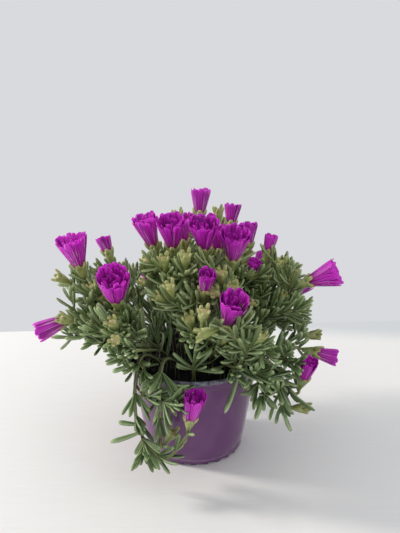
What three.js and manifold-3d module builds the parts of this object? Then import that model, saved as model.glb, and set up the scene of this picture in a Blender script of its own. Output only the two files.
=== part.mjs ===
// A potted rosy dewplant: a purple plastic pot filled with peat, out of which fleshy leafy shoots rise,
// lean over the rim and trail down. Most shoots end in a half-open magenta bloom, and carry green buds on
// side stems. Millimetres, +Z up. The origin is the centre of the pot's underside. The front faces -Y.

import * as THREE from "three";
import { mergeVertices } from "three/addons/utils/BufferGeometryUtils.js";
import Module from "manifold-3d";

const wasm = await Module();
wasm.setup();

// Driving dimensions of the pot
const POT_HEIGHT = 88;
const RIM_RADIUS = 60;
const FOOT_RADIUS = 42.5;
const WALL = 1.4;
const FOOT_HEIGHT = 2.6;
const FOOT_COUNT = 8;
const FOOT_GAP = 7;
const BEAD_HEIGHT = 3.6;
const COLLAR_HEIGHT = 9;
const DRAIN_COUNT = 6;
const DRAIN_RADIUS = 4;
const DRAIN_CIRCLE = 30;
const PAD_RADIUS = 14;
const ROUND_SIDES = 24;

// Driving dimensions of the plant
const SOIL_TOP = 79;
const SOIL_RELIEF = 0.8;
const ROOT_DEPTH = 9;
const HOLE_RADIUS = 4.4;
const STEM_RADIUS = 2.1;
const STEM_TIP_RADIUS = 1.6;
const STEM_STEP = 40;
const STEM_TURN = 32;
const LEAF_LONGEST = 25;
const LEAF_SHORTEST = 13;
const LEAF_HALF_WIDTH = 2.1;
const LEAF_SPACING = 36;
const CALYX_DEPTH = 12;
const CALYX_RADIUS = 4.5;
const CALYX_FOOT_RADIUS = 2.3;
const CUP_RADIUS = 3.4;
const CUP_DEPTH = 3.6;
const BUD_SIZE = 0.95;
const PETAL_HALF_WIDTH = 1.9;
const PETAL_HALF_THICKNESS = 0.5;

// The play left between pieces that touch in the real plant, and the clearance kept between pieces that don't
const SEAT_GAP = 0.4;
const CLEARANCE = 0.8;

// Where pieces grow into each other, edges finer than this are smoothed away
const FINEST_DETAIL = 0.08;

const MATERIALS = {
  pot: new THREE.MeshStandardMaterial({ color: 0x6b4370, roughness: 0.3, metalness: 0 }),
  soil: new THREE.MeshStandardMaterial({ color: 0x1d1916, roughness: 0.95, metalness: 0 }),
  leaf: new THREE.MeshStandardMaterial({ color: 0x566a41, roughness: 0.55, metalness: 0 }),
  petal: new THREE.MeshStandardMaterial({ color: 0x99128c, roughness: 0.5, metalness: 0 }),
};

// The shoots, by the place where each one shows. A shoot rises from its root on the soil, through its via
// points where it has them, to its head. A head is [mouth of the calyx, tip], and a bloom's third value is
// the radius that its petals open to. Side stems leave the main one at the given share of its length.
const SHOOTS = [
  {
    name: "far_left", root: [-38, -12], via: [[-66, -16, 112]],
    bloom: [[-111, -20, 125], [-132, -26, 117], 8],
    sides: [
      { at: 0.72, bud: [[-107, -34, 133], [-115, -40, 138]] },
      { at: 0.45, leafy: [-106, -6, 106] },
      { at: 0.3, leafy: [-80, -40, 116] },
    ],
  },
  {
    name: "left_large", root: [-30, 0],
    bloom: [[-96, -10, 172], [-102, -14, 197], 12.5],
    sides: [
      { at: 0.7, bud: [[-115, -4, 159], [-122, -7, 164]] },
      { at: 0.5, leafy: [-98, 12, 140] },
    ],
  },
  {
    name: "left_back", root: [-28, 18],
    bloom: [[-81, 55, 166], [-86, 59, 179], 6.5],
    sides: [{ at: 0.6, bud: [[-99, 42, 142], [-107, 46, 148]] }],
  },
  {
    name: "left_front", root: [-22, -22],
    bloom: [[-61, -50, 156], [-61, -63, 180], 12],
    sides: [
      { at: 0.7, bud: [[-62, -66, 142], [-66, -74, 151]] },
      { at: 0.45, leafy: [-78, -48, 128] },
      { at: 0.3, leafy: [-46, -72, 122] },
    ],
  },
  {
    name: "crown_left", root: [-16, -5],
    bloom: [[-34, -8, 189], [-41, -13, 214], 9.5],
    sides: [{ at: 0.8, bud: [[-38, -26, 180], [-41, -30, 189]] }],
  },
  {
    name: "crown_second", root: [-9, -17],
    bloom: [[-17, -22, 192], [-18, -31, 216], 11],
    sides: [{ at: 0.7, bud: [[-23, -44, 186], [-24, -48, 196]] }],
  },
  {
    name: "crown_back", root: [-10, 14],
    bloom: [[-7, 38, 188], [-8, 43, 206], 6.5],
    sides: [{ at: 0.7, bloom: [[-9, 8, 188], [-11, 10, 206], 6.5] }],
  },
  {
    name: "crown_mid", root: [3, -12],
    bloom: [[9, -28, 192], [8, -38, 216], 11.5],
    sides: [{ at: 0.7, bud: [[-6, -48, 190], [-6, -52, 200]] }],
  },
  {
    name: "crown_inner", root: [10, 4],
    bloom: [[21, -1, 184], [20, -4, 203], 7],
    sides: [{ at: 0.6, leafy: [36, -2, 160] }],
  },
  {
    name: "crown_right", root: [15, -14],
    bloom: [[32, -25, 182], [34, -36, 207], 11.5],
    sides: [{ at: 0.75, bud: [[22, -48, 176], [22, -54, 186]] }],
  },
  {
    name: "crown_outer", root: [22, 8],
    bloom: [[47, 18, 183], [49, 20, 202], 6],
    sides: [{ at: 0.75, bloom: [[50, 2, 163], [52, -1, 173], 5.5] }],
  },
  {
    name: "top", root: [4, 22],
    bloom: [[5, 28, 209], [6, 30, 230], 8],
    sides: [{ at: 0.85, bud: [[-14, 22, 208], [-15, 22, 217]] }],
  },
  {
    name: "top_right", root: [16, 22],
    bloom: [[33, 40, 197], [35, 44, 214], 7],
    sides: [{ at: 0.85, bud: [[21, 20, 211], [21, 20, 221]] }],
  },
  {
    name: "right_small", root: [29, -2],
    bloom: [[64, 10, 179], [67, 11, 193], 5],
    sides: [
      { at: 0.75, bud: [[75, 2, 170], [77, 2, 179]] },
      { at: 0.5, leafy: [80, 14, 146] },
    ],
  },
  {
    name: "right_large", root: [38, -8],
    bloom: [[99, -5, 156], [122, -9, 166], 11],
    sides: [
      { at: 0.75, bud: [[88, 10, 158], [91, 13, 167]] },
      { at: 0.55, leafy: [84, -22, 136] },
    ],
  },
  {
    name: "right_back", root: [36, 12],
    bloom: [[92, 28, 134], [105, 36, 141], 6],
    sides: [
      { at: 0.7, bloom: [[66, 42, 144], [68, 48, 157], 4.5] },
      { at: 0.45, leafy: [88, 10, 116] },
    ],
  },
  {
    name: "middle", root: [2, -25],
    bloom: [[9, -58, 167], [11, -66, 183], 6],
    sides: [
      { at: 0.7, bud: [[-18, -60, 169], [-20, -66, 179]] },
      { at: 0.55, bud: [[-3, -74, 148], [-5, -80, 157]] },
    ],
  },
  {
    name: "front", root: [14, -26],
    bloom: [[26, -78, 147], [31, -91, 171], 10],
    sides: [
      { at: 0.6, bud: [[8, -86, 158], [9, -92, 170]] },
      { at: 0.75, bud: [[30, -60, 168], [31, -65, 178]] },
      { at: 0.4, leafy: [48, -70, 126] },
    ],
  },
  {
    name: "right_low", root: [42, -16], via: [[66, -22, 100]],
    bloom: [[105, -22, 97], [122, -26, 94], 6.5],
    sides: [
      { at: 0.55, bud: [[106, -8, 108], [118, -9, 110]] },
      { at: 0.3, leafy: [84, -46, 100] },
    ],
  },
  {
    name: "right_front", root: [34, -28], via: [[60, -44, 100], [78, -44, 76]],
    bloom: [[91, -42, 84], [95, -48, 103], 6.5],
    sides: [
      { at: 0.7, bud: [[92, -46, 58], [100, -50, 60]] },
      { at: 0.35, leafy: [56, -58, 78] },
      { at: 0.55, leafy: [72, -54, 64] },
    ],
  },
  {
    name: "trail_bloom", root: [-28, -32],
    via: [[-42, -50, 106], [-47, -64, 78], [-42, -72, 50], [-24, -80, 31]],
    bloom: [[-2, -83, 70], [2, -90, 94], 8],
    sides: [
      { at: 0.3, leafy: [-58, -58, 104] },
      { at: 0.62, leafy: [-39, -80, 38] },
    ],
  },
  {
    name: "trail_leafy", root: [-14, -34], via: [[-24, -58, 106], [-27, -68, 78]],
    bud: [[-17, -66, 46], [-12, -69, 54]],
    sides: [{ at: 0.55, leafy: [-12, -80, 82] }],
  },
  {
    name: "arched", root: [24, -36], via: [[34, -64, 104], [39, -82, 126], [30, -90, 141]],
    bud: [[6, -96, 145], [-4, -99, 143]],
    sides: [{ at: 0.3, leafy: [54, -66, 96] }],
  },
  {
    name: "rosette", root: [0, -42],
    leafy: [0, -48, 100],
    sides: [],
  },
  {
    name: "back_left", root: [-26, 34],
    bloom: [[-44, 88, 122], [-48, 102, 138], 9],
    sides: [
      { at: 0.6, leafy: [-70, 90, 124] },
      { at: 0.45, leafy: [-92, 62, 118] },
    ],
  },
  {
    name: "back_middle", root: [-8, 34],
    bloom: [[-22, 82, 164], [-26, 93, 186], 11],
    sides: [
      { at: 0.6, leafy: [-8, 100, 146] },
      { at: 0.4, leafy: [-30, 112, 112] },
    ],
  },
  {
    name: "back_right", root: [12, 38],
    bloom: [[26, 90, 160], [30, 104, 180], 9],
    sides: [
      { at: 0.4, leafy: [32, 116, 104] },
    ],
  },
  {
    name: "far_right_back", root: [30, 30],
    bloom: [[62, 84, 132], [72, 99, 149], 10],
    sides: [
      { at: 0.65, leafy: [88, 56, 140] },
      { at: 0.45, leafy: [84, 74, 110] },
    ],
  },
  {
    name: "back_trailing", root: [-24, 40], via: [[-36, 60, 108], [-50, 78, 88]],
    bloom: [[-62, 96, 66], [-70, 110, 78], 7],
    sides: [
      { at: 0.4, leafy: [-20, 90, 78] },
      { at: 0.6, leafy: [-74, 74, 62] },
    ],
  },
];

// Small helpers
const vector = (list) => new THREE.Vector3(...list);
const mix = (a, b, share) => a + (b - a) * share;
const TURN = 2 * Math.PI;
const DEGREE = Math.PI / 180;

// A stream of repeatable numbers from 0 to 1, the same on every run
function drawsFrom(seed) {
  let state = seed * 7919 + 104729;
  const next = () => {
    state = (state * 48271) % 2147483647;
    return state / 2147483647;
  };
  next();
  next();
  return next;
}

// A unit vector at right angles to way, as near to hint as it can be
function squareTo(way, hint) {
  const side = hint.clone().addScaledVector(way, -hint.dot(way));
  if (side.length() < 0.05) side.set(0, 1, 0).addScaledVector(way, -way.y);
  return side.normalize();
}

// A closed solid of a geometry, with its doubled vertices merged and collapsed faces left out
function solidOf(geometry) {
  geometry.deleteAttribute("normal");
  geometry.deleteAttribute("uv");
  const merged = mergeVertices(geometry, 1e-4);
  const faces = [];
  const index = merged.index.array;
  for (let i = 0; i < index.length; i += 3) {
    const [a, b, c] = [index[i], index[i + 1], index[i + 2]];
    if (a !== b && b !== c && a !== c) faces.push(a, b, c);
  }
  const build = () =>
    new wasm.Manifold(
      new wasm.Mesh({
        numProp: 3,
        vertProperties: merged.attributes.position.array,
        triVerts: new Uint32Array(faces),
      }),
    );
  const made = build();
  if (made.volume() > 0) return made;
  for (let i = 0; i < faces.length; i += 3) [faces[i + 1], faces[i + 2]] = [faces[i + 2], faces[i + 1]];
  return build();
}

function meshOf(name, solid, material) {
  const { vertProperties, triVerts } = solid.getMesh();
  const geometry = new THREE.BufferGeometry();
  geometry.setAttribute("position", new THREE.BufferAttribute(vertProperties, 3));
  geometry.setIndex(new THREE.BufferAttribute(triVerts, 1));
  geometry.computeVertexNormals();
  const mesh = new THREE.Mesh(geometry, material);
  mesh.name = name;
  return mesh;
}

const joined = (solids) => wasm.Manifold.union(solids).asOriginal().simplify(FINEST_DETAIL);

// A solid of revolution about +Z from [radius, height] points
function turned(points, sides) {
  const lathe = new THREE.LatheGeometry(points.map(([r, h]) => new THREE.Vector2(r, h)), sides);
  lathe.rotateX(Math.PI / 2);
  return solidOf(lathe);
}

// The pot
function wallRadius(height) {
  return mix(FOOT_RADIUS, RIM_RADIUS - 1.6, (height - FOOT_HEIGHT) / (POT_HEIGHT - FOOT_HEIGHT));
}

function makePot() {
  const floorTop = FOOT_HEIGHT + 1.6;
  const collar = POT_HEIGHT - COLLAR_HEIGHT;
  const bead = POT_HEIGHT - BEAD_HEIGHT;
  const body = turned(
    [
      [0, 0],
      [PAD_RADIUS, 0],
      [PAD_RADIUS + 1, FOOT_HEIGHT - 0.6],
      [FOOT_RADIUS - 4, FOOT_HEIGHT - 0.6],
      [FOOT_RADIUS - 3, 0],
      [FOOT_RADIUS - 0.8, 0],
      [FOOT_RADIUS - 0.4, FOOT_HEIGHT],
      [FOOT_RADIUS + 0.5, FOOT_HEIGHT + 0.8],
      [wallRadius(collar), collar],
      [wallRadius(collar) + 0.7, collar + 0.8],
      [wallRadius(bead) + 0.5, bead],
      [RIM_RADIUS, bead + 0.8],
      [RIM_RADIUS, POT_HEIGHT - 0.8],
      [RIM_RADIUS - 1, POT_HEIGHT],
      [RIM_RADIUS - 2.6, POT_HEIGHT],
      [wallRadius(bead) - WALL, bead],
      [wallRadius(floorTop + 2) - WALL, floorTop + 2],
      [wallRadius(floorTop) - WALL - 2, floorTop],
      [0, floorTop],
    ],
    ROUND_SIDES,
  );
  const cuts = [];
  for (let i = 0; i < FOOT_COUNT; i++) {
    const notch = new THREE.BoxGeometry(8, FOOT_GAP, 2 * (FOOT_HEIGHT - 0.6));
    notch.translate(FOOT_RADIUS - 1, 0, 0);
    notch.rotateZ(((i + 0.5) / FOOT_COUNT) * TURN);
    cuts.push(solidOf(notch));
  }
  for (let i = 0; i < DRAIN_COUNT; i++) {
    const drain = new THREE.CylinderGeometry(DRAIN_RADIUS, DRAIN_RADIUS, 4 * floorTop, 8);
    drain.rotateX(Math.PI / 2);
    drain.translate(DRAIN_CIRCLE, 0, 0);
    drain.rotateZ(((i + 0.5) / DRAIN_COUNT) * TURN);
    cuts.push(solidOf(drain));
  }
  return body.subtract(joined(cuts)).asOriginal().simplify(FINEST_DETAIL);
}

// The height of the soil's rough top: a few crossing waves stand for its crumbs
function soilHeight(x, y) {
  const waves = Math.sin(0.31 * x + 1.2) * Math.cos(0.27 * y) + 0.6 * Math.sin(0.53 * y - 0.4 * x);
  return SOIL_TOP + SOIL_RELIEF * waves;
}

function makeSoil(roots) {
  const bottom = FOOT_HEIGHT + 1.6 + SEAT_GAP;
  const inner = (height) => wallRadius(height) - WALL - SEAT_GAP;
  const profile = [
    [0, bottom],
    [inner(bottom + 2) - 2, bottom],
    [inner(bottom + 2), bottom + 2],
    [inner(SOIL_TOP), SOIL_TOP],
    [20, SOIL_TOP + 0.4],
    [0, SOIL_TOP + 0.4],
  ];
  const lathe = new THREE.LatheGeometry(profile.map(([r, h]) => new THREE.Vector2(r, h)), ROUND_SIDES);
  lathe.rotateX(Math.PI / 2);
  const place = lathe.attributes.position;
  for (let i = 0; i < place.count; i++) {
    if (place.getZ(i) > SOIL_TOP + 0.2) place.setZ(i, soilHeight(place.getX(i), place.getY(i)));
  }
  const holes = roots.map(([x, y]) => {
    const hole = new THREE.CylinderGeometry(HOLE_RADIUS, HOLE_RADIUS, 2 * (ROOT_DEPTH + 1), 4);
    hole.rotateX(Math.PI / 2);
    hole.translate(x, y, SOIL_TOP);
    return solidOf(hole);
  });
  return solidOf(lathe).subtract(joined(holes)).asOriginal().simplify(FINEST_DETAIL);
}

// How many degrees a chain of points turns through in all
function turningOf(spots) {
  let turning = 0;
  for (let i = 2; i < spots.length; i++) {
    const before = spots[i - 1].clone().sub(spots[i - 2]);
    turning += before.angleTo(spots[i].clone().sub(spots[i - 1])) / DEGREE;
  }
  return turning;
}

// A path is a smooth curve through points, cut into straight steps, with a way and a side at each spot. A
// curve that turns more gets more steps. The side turns with the path and never twists about it.
function pathThrough(points) {
  const curve = new THREE.CatmullRomCurve3(points, false, "catmullrom", 0.5);
  const turning = turningOf(curve.getSpacedPoints(16));
  const steps = Math.max(3, Math.round(curve.getLength() / STEM_STEP + turning / STEM_TURN));
  const spots = curve.getSpacedPoints(steps);
  const ways = spots.map((_, i) => {
    const before = spots[Math.max(i - 1, 0)];
    const after = spots[Math.min(i + 1, steps)];
    return after.clone().sub(before).normalize();
  });
  const sides = [squareTo(ways[0], new THREE.Vector3(1, 0, 0))];
  for (let i = 1; i <= steps; i++) sides.push(squareTo(ways[i], sides[i - 1]));
  return { spots, ways, sides, steps, length: curve.getLength() };
}

// The place, way and side of a path at a share of its length
function onPath(path, share) {
  const i = Math.min(Math.floor(share * path.steps), path.steps - 1);
  const within = share * path.steps - i;
  const way = path.ways[i].clone().lerp(path.ways[i + 1], within).normalize();
  return {
    at: path.spots[i].clone().lerp(path.spots[i + 1], within),
    way,
    side: squareTo(way, path.sides[i]),
  };
}

// What already fills the space, as balls: each with the shoot that it belongs to and what it is of
const filled = [];

function fill(balls, owner, kind) {
  for (const { at, radius } of balls) filled.push({ x: at.x, y: at.y, z: at.z, radius, owner, kind });
}

// True if a ball stays clear of the pot, the soil and the surface that the pot stands on
function clearOfPot({ at, radius }) {
  const reach = radius + CLEARANCE;
  if (at.z < radius + 3) return false;
  if (at.z > POT_HEIGHT + reach) return true;
  const out = Math.hypot(at.x, at.y);
  const wall = at.z > POT_HEIGHT - COLLAR_HEIGHT - 2 ? RIM_RADIUS : wallRadius(at.z);
  if (out > wall + reach) return true;
  return out < wallRadius(POT_HEIGHT) - 3 - reach && at.z > SOIL_TOP + 2 * SOIL_RELIEF + reach;
}

// How many of the balls come too near to something, apart from what passes() lets them touch
function countBlocked(balls, passes) {
  let blocked = 0;
  for (const ball of balls) {
    const { x, y, z } = ball.at;
    const touches = (other) => {
      const reach = ball.radius + other.radius + CLEARANCE;
      const [dx, dy, dz] = [x - other.x, y - other.y, z - other.z];
      return dx * dx + dy * dy + dz * dz < reach * reach && !passes(other, ball);
    };
    if (!clearOfPot(ball) || filled.some(touches)) blocked++;
  }
  return blocked;
}

// A spindle: a turned solid of few sides whose rings of vertices are moved onto a curve. Each row is
// [share along, half width, half thickness], and frameAt(share) gives the place and the directions across.
function spindle(sides, rows, frameAt) {
  const profile = rows.map(([, halfWidth], row) => new THREE.Vector2(halfWidth ? 1 : 0, row));
  const lathe = new THREE.LatheGeometry(profile, sides);
  const place = lathe.attributes.position;
  for (let i = 0; i < place.count; i++) {
    const [share, halfWidth, halfThickness] = rows[Math.round(place.getY(i))];
    const { at, across, over } = frameAt(share);
    at.addScaledVector(across, place.getX(i) * halfWidth);
    at.addScaledVector(over, place.getZ(i) * halfThickness);
    place.setXYZ(i, at.x, at.y, at.z);
  }
  return solidOf(lathe);
}

// A stem: a tapered three-sided tube with a ring of vertices at each spot of its path
function makeStem({ spots, ways, sides, steps }, startRadius, endRadius) {
  const tube = new THREE.CylinderGeometry(1, 1, 1, 3, steps);
  const place = tube.attributes.position;
  for (let i = 0; i < place.count; i++) {
    const row = Math.round((place.getY(i) + 0.5) * steps);
    const radius = mix(startRadius, endRadius, row / steps);
    const over = ways[row].clone().cross(sides[row]);
    const at = spots[row].clone();
    at.addScaledVector(sides[row], place.getX(i) * radius).addScaledVector(over, -place.getZ(i) * radius);
    place.setXYZ(i, at.x, at.y, at.z);
  }
  return solidOf(tube);
}

function stemBalls(path) {
  const balls = [];
  const count = Math.ceil(path.length / 2.5);
  for (let i = 0; i <= count; i++) balls.push({ at: onPath(path, i / count).at, radius: STEM_RADIUS });
  return balls;
}

// A leaf, sepal or petal is a blade: from its root along way, and drawn aside to lift by the square of the
// share gone
function bladePoint(blade, share) {
  return blade.root
    .clone()
    .addScaledVector(blade.way, blade.length * share)
    .addScaledVector(blade.lift, blade.length * blade.bend * share * share);
}

// The solid of a blade, flat above and keeled below, with [share along, width, thickness] rows in shares of
// its half width and half thickness
function makeBlade(blade, rows) {
  const across = blade.lift.clone().cross(blade.way);
  const sized = rows.map(([share, w, t]) => [share, w * blade.halfWidth, t * blade.halfThickness]);
  return spindle(3, sized, (share) => {
    const way = blade.way.clone().addScaledVector(blade.lift, 2 * blade.bend * share).normalize();
    return { at: bladePoint(blade, share), across, over: across.clone().cross(way) };
  });
}

// A leaf starts as a point in the middle of its stem. Sepals and petals start with a flat end.
const LEAF_ROWS = [
  [0, 0, 0],
  [0.7, 1, 1],
  [1, 0, 0],
];
const SEPAL_ROWS = [
  [0, 0, 0],
  [0, 1, 1],
  [1, 0, 0],
];
const PETAL_ROWS = [
  [0, 0, 0],
  [0, 0.42, 1],
  [0.86, 1, 1],
  [1, 0, 0],
];

function leafBalls(leaf) {
  return [0.18, 0.32, 0.46, 0.6, 0.74, 0.88, 0.97].map((share) => ({
    at: bladePoint(leaf, share),
    radius: leaf.halfWidth * (share > 0.9 ? 0.6 : 1),
    outer: share > 0.4,
  }));
}

// Leaves stand in opposite pairs along a stem, each pair turned a quarter from the last. A leaf that would
// come too near to something is turned further round, to either side by turns, and made a little shorter.
// After the last try it is left out.
const LEAF_TRIES = 18;

function growLeaves(branch, owner, draw) {
  const { path, bareStart, bareEnd } = branch;
  const leaves = [];
  const usable = path.length - bareStart - bareEnd;
  const pairs = Math.max(1, Math.round(usable / LEAF_SPACING));
  const passes = (other, ball) => {
    if (other.owner !== owner) return false;
    return other.kind === "stem" || other.kind === "leaf root" || (other.kind === "leaf" && !ball.outer);
  };
  for (let pair = 0; pair <= pairs; pair++) {
    const share = (bareStart + (usable * pair) / pairs) / path.length;
    for (const half of [0, Math.PI]) {
      const leaf = {
        about: Math.PI / 4 + (pair * Math.PI) / 2 + half + (draw() - 0.5) * 0.4,
        splay: mix(62, 40, share) + (draw() - 0.5) * 22,
        length: mix(LEAF_LONGEST, branch.tipLeaf, share * share) * mix(0.82, 1.12, draw()),
        bend: mix(0.08, 0.3, draw()),
      };
      for (let k = 0; k < LEAF_TRIES; k++) {
        const placed = placeLeaf(leaf, onPath(path, share), k);
        const balls = leafBalls(placed);
        if (countBlocked(balls, passes)) continue;
        fill(balls.filter((ball) => ball.outer), owner, "leaf");
        fill(balls.filter((ball) => !ball.outer), owner, "leaf root");
        leaves.push(placed);
        break;
      }
    }
  }
  return leaves;
}

// The blade of a leaf on its k-th try, at a spot of its stem
function placeLeaf({ about, splay, length, bend }, { at, way, side }, k) {
  const angle = about + Math.ceil(k / 2) * (k % 2 ? 18 : -18) * DEGREE;
  const open = (splay + (k % 3 ? (k % 3 === 1 ? 14 : -14) : 0)) * DEGREE;
  const over = way.clone().cross(side);
  const out = side.clone().multiplyScalar(Math.cos(angle)).addScaledVector(over, Math.sin(angle));
  const leafWay = way.clone().multiplyScalar(Math.cos(open)).addScaledVector(out, Math.sin(open));
  const upward = way.clone().add(new THREE.Vector3(0, 0, 1));
  const size = 1 - 0.025 * k;
  return {
    root: at,
    way: leafWay,
    lift: squareTo(leafWay, upward),
    length: length * size,
    bend,
    halfWidth: LEAF_HALF_WIDTH * mix(0.8, 1, (length * size) / LEAF_LONGEST),
    halfThickness: LEAF_HALF_WIDTH * 0.85,
  };
}

// The frame of a head: its axis points out of the calyx's mouth
function headFrame(mouth, tip) {
  const axis = tip.clone().sub(mouth).normalize();
  const side = squareTo(axis, new THREE.Vector3(1, 0.3, 0));
  return { mouth, axis, side, over: axis.clone().cross(side), length: tip.distanceTo(mouth) };
}

// A point at an angle round a head's axis, a radius from it and a height above the mouth
function headPoint(frame, angle, radius, height) {
  return frame.mouth
    .clone()
    .addScaledVector(frame.side, Math.cos(angle) * radius)
    .addScaledVector(frame.over, Math.sin(angle) * radius)
    .addScaledVector(frame.axis, height);
}

// The direction straight out from a head's axis at an angle
const outward = (frame, angle) => headPoint(frame, angle, 1, 0).sub(frame.mouth);

// A solid of revolution about a head's axis from [radius, height above the mouth] points
function turnedOnHead(frame, points, sides) {
  const lathe = new THREE.LatheGeometry(points.map(([r, h]) => new THREE.Vector2(r, h)), sides);
  const basis = new THREE.Matrix4().makeBasis(frame.over, frame.axis, frame.side);
  basis.setPosition(frame.mouth);
  lathe.applyMatrix4(basis);
  return solidOf(lathe);
}

// Five sepals, of which two are longer, as on all the plant's calyxes
const SEPAL_LENGTHS = [7, 4.8, 6.2, 4.8, 5.2];

function sepals(frame, lean, [rootRadius, rootHeight], size) {
  return SEPAL_LENGTHS.map((length, i) => {
    const angle = ((i + 0.5) / SEPAL_LENGTHS.length) * TURN;
    const out = outward(frame, angle);
    const way = out.clone().multiplyScalar(Math.sin(lean)).addScaledVector(frame.axis, Math.cos(lean));
    return {
      root: headPoint(frame, angle, rootRadius, rootHeight),
      way,
      lift: squareTo(way, out.clone().negate()),
      length: length * size,
      bend: 0.1,
      halfWidth: 1.3 * size,
      halfThickness: 0.9 * size,
    };
  });
}

// A bloom's sepals stand clear outside the cone of its petals, and a bud's stand round its top like a star
function bloomSepals(frame, flare) {
  const lean = Math.atan((flare - 2.5) / frame.length) + 26 * DEGREE;
  return sepals(frame, lean, [2.2, -3.6], 1);
}

const budSepals = (frame) => sepals(frame, 42 * DEGREE, [1.6, -0.5], BUD_SIZE);

// A bloom's calyx: a green cone with a cup in its mouth, where the corolla sits
function makeBloomCalyx(frame, flare) {
  const cone = turnedOnHead(
    frame,
    [
      [0, -CALYX_DEPTH],
      [CALYX_FOOT_RADIUS, -CALYX_DEPTH],
      [CALYX_RADIUS, 0],
      [CUP_RADIUS, 0],
      [CUP_RADIUS / 2, -CUP_DEPTH],
      [0, -CUP_DEPTH],
    ],
    SEPAL_LENGTHS.length,
  );
  return [cone, ...bloomSepals(frame, flare).map((sepal) => makeBlade(sepal, SEPAL_ROWS))];
}

// A bud's calyx, or a faded bloom's: a closed green cone
function makeBudCalyx(frame) {
  const cone = turnedOnHead(
    frame,
    [
      [0, -CALYX_DEPTH * BUD_SIZE],
      [CALYX_FOOT_RADIUS, -CALYX_DEPTH * BUD_SIZE],
      [4 * BUD_SIZE, -1],
      [0, 3.5],
    ],
    SEPAL_LENGTHS.length,
  );
  return [cone, ...budSepals(frame).map((sepal) => makeBlade(sepal, SEPAL_ROWS))];
}

// The petals of a corolla rise in a funnel. Wider blooms have more of them.
function petalsOf(frame, flare, draw) {
  const count = flare > 9 ? 8 : flare > 6 ? 6 : 5;
  const petals = [];
  for (let i = 0; i < count; i++) {
    const angle = ((i + 0.5) / count) * TURN;
    const tipAngle = angle + (draw() - 0.5) * 0.25;
    const root = headPoint(frame, angle, 1.3, 0.5);
    const reach = flare * mix(0.86, 1.08, draw());
    const tip = headPoint(frame, tipAngle, reach, frame.length * mix(0.92, 1.04, draw()));
    const way = tip.clone().sub(root);
    const length = way.length();
    way.normalize();
    petals.push({
      root,
      way,
      lift: squareTo(way, outward(frame, angle)),
      length,
      bend: 0,
      halfWidth: PETAL_HALF_WIDTH,
      halfThickness: PETAL_HALF_THICKNESS,
    });
  }
  return petals;
}

// A corolla: a plug that sits in the calyx's cup, with a face for each petal to rise from
function makeCorolla(frame, petals) {
  const plug = turnedOnHead(
    frame,
    [
      [0, SEAT_GAP - CUP_DEPTH],
      [0.9, SEAT_GAP - CUP_DEPTH],
      [2.6, 1.6],
      [0, 4],
    ],
    petals.length,
  );
  return joined([plug, ...petals.map((petal) => makeBlade(petal, PETAL_ROWS))]);
}

function corollaBalls(petals, frame, flare) {
  const balls = [];
  for (const petal of petals) {
    for (let share = 0.1; share < 1.01; share += 0.15) {
      balls.push({ at: bladePoint(petal, share), radius: 1.2 });
    }
  }
  for (const share of [0.5, 0.75, 1]) {
    const radius = Math.max(1.5, flare * share * 0.8 - 1);
    balls.push({ at: headPoint(frame, 0, 0, frame.length * share), radius });
  }
  return balls;
}

function calyxBalls(frame, size, blades) {
  const balls = [0, -4, -8].map((height) => ({
    at: headPoint(frame, 0, 0, height * size),
    radius: (CALYX_RADIUS + height * 0.24) * size,
  }));
  for (const blade of blades) {
    for (const share of [0.45, 0.75, 1]) balls.push({ at: bladePoint(blade, share), radius: 1.2 * size });
  }
  return balls;
}

// Each head is planned before any stem grows, so that all stems and leaves keep clear of it
function planHead(stem, owner, draw) {
  if (stem.bloom) {
    const [mouth, tip, flare] = stem.bloom;
    const frame = headFrame(vector(mouth), vector(tip));
    const petals = petalsOf(frame, flare, draw);
    fill(corollaBalls(petals, frame, flare), owner, "corolla");
    fill(calyxBalls(frame, 1, bloomSepals(frame, flare)), owner, "calyx");
    return { frame, flare, petals, depth: CALYX_DEPTH };
  }
  if (stem.bud) {
    const frame = headFrame(...stem.bud.map(vector));
    fill(calyxBalls(frame, BUD_SIZE, budSepals(frame)), owner, "calyx");
    return { frame, depth: CALYX_DEPTH * BUD_SIZE };
  }
  return null;
}

// A stem bows aside until it comes clear: by nothing at first, then in six directions, further each round
const BOW_TRIES = 25;
const BOW_STEP = 6;

function growPath(start, via, head, leafyEnd, owner) {
  const end = head ? headPoint(head.frame, 0, 0, 2 - head.depth) : vector(leafyEnd);
  const neck = head ? [headPoint(head.frame, 0, 0, -head.depth - 8)] : [];
  const first = start[start.length - 1];
  const last = neck[0] ?? end;
  const chord = last.clone().sub(first).normalize();
  const aside = squareTo(chord, new THREE.Vector3(0, 0, 1));
  const across = chord.clone().cross(aside);
  const middles = via ? via.map(vector) : [first.clone().lerp(last, 0.5)];
  const passes = (other) => other.owner === owner && other.kind !== "corolla";
  let best = null;
  for (let k = 0; k < BOW_TRIES; k++) {
    const reach = BOW_STEP * Math.ceil(k / 6) * (via ? 0.5 : 1);
    const angle = (k / 6) * TURN;
    const bow = aside.clone().multiplyScalar(Math.cos(angle) * reach);
    bow.addScaledVector(across, Math.sin(angle) * reach);
    const path = pathThrough([...start, ...middles.map((point) => point.clone().add(bow)), ...neck, end]);
    const checked = stemBalls(path).filter(({ at }) => at.distanceTo(start[0]) > ROOT_DEPTH + 6);
    const blocked = countBlocked(checked.slice(0, -3), passes);
    if (!best || blocked < best.blocked) best = { path, blocked };
    if (blocked === 0) break;
  }
  fill(stemBalls(best.path), owner, "stem");
  return best.path;
}

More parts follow.
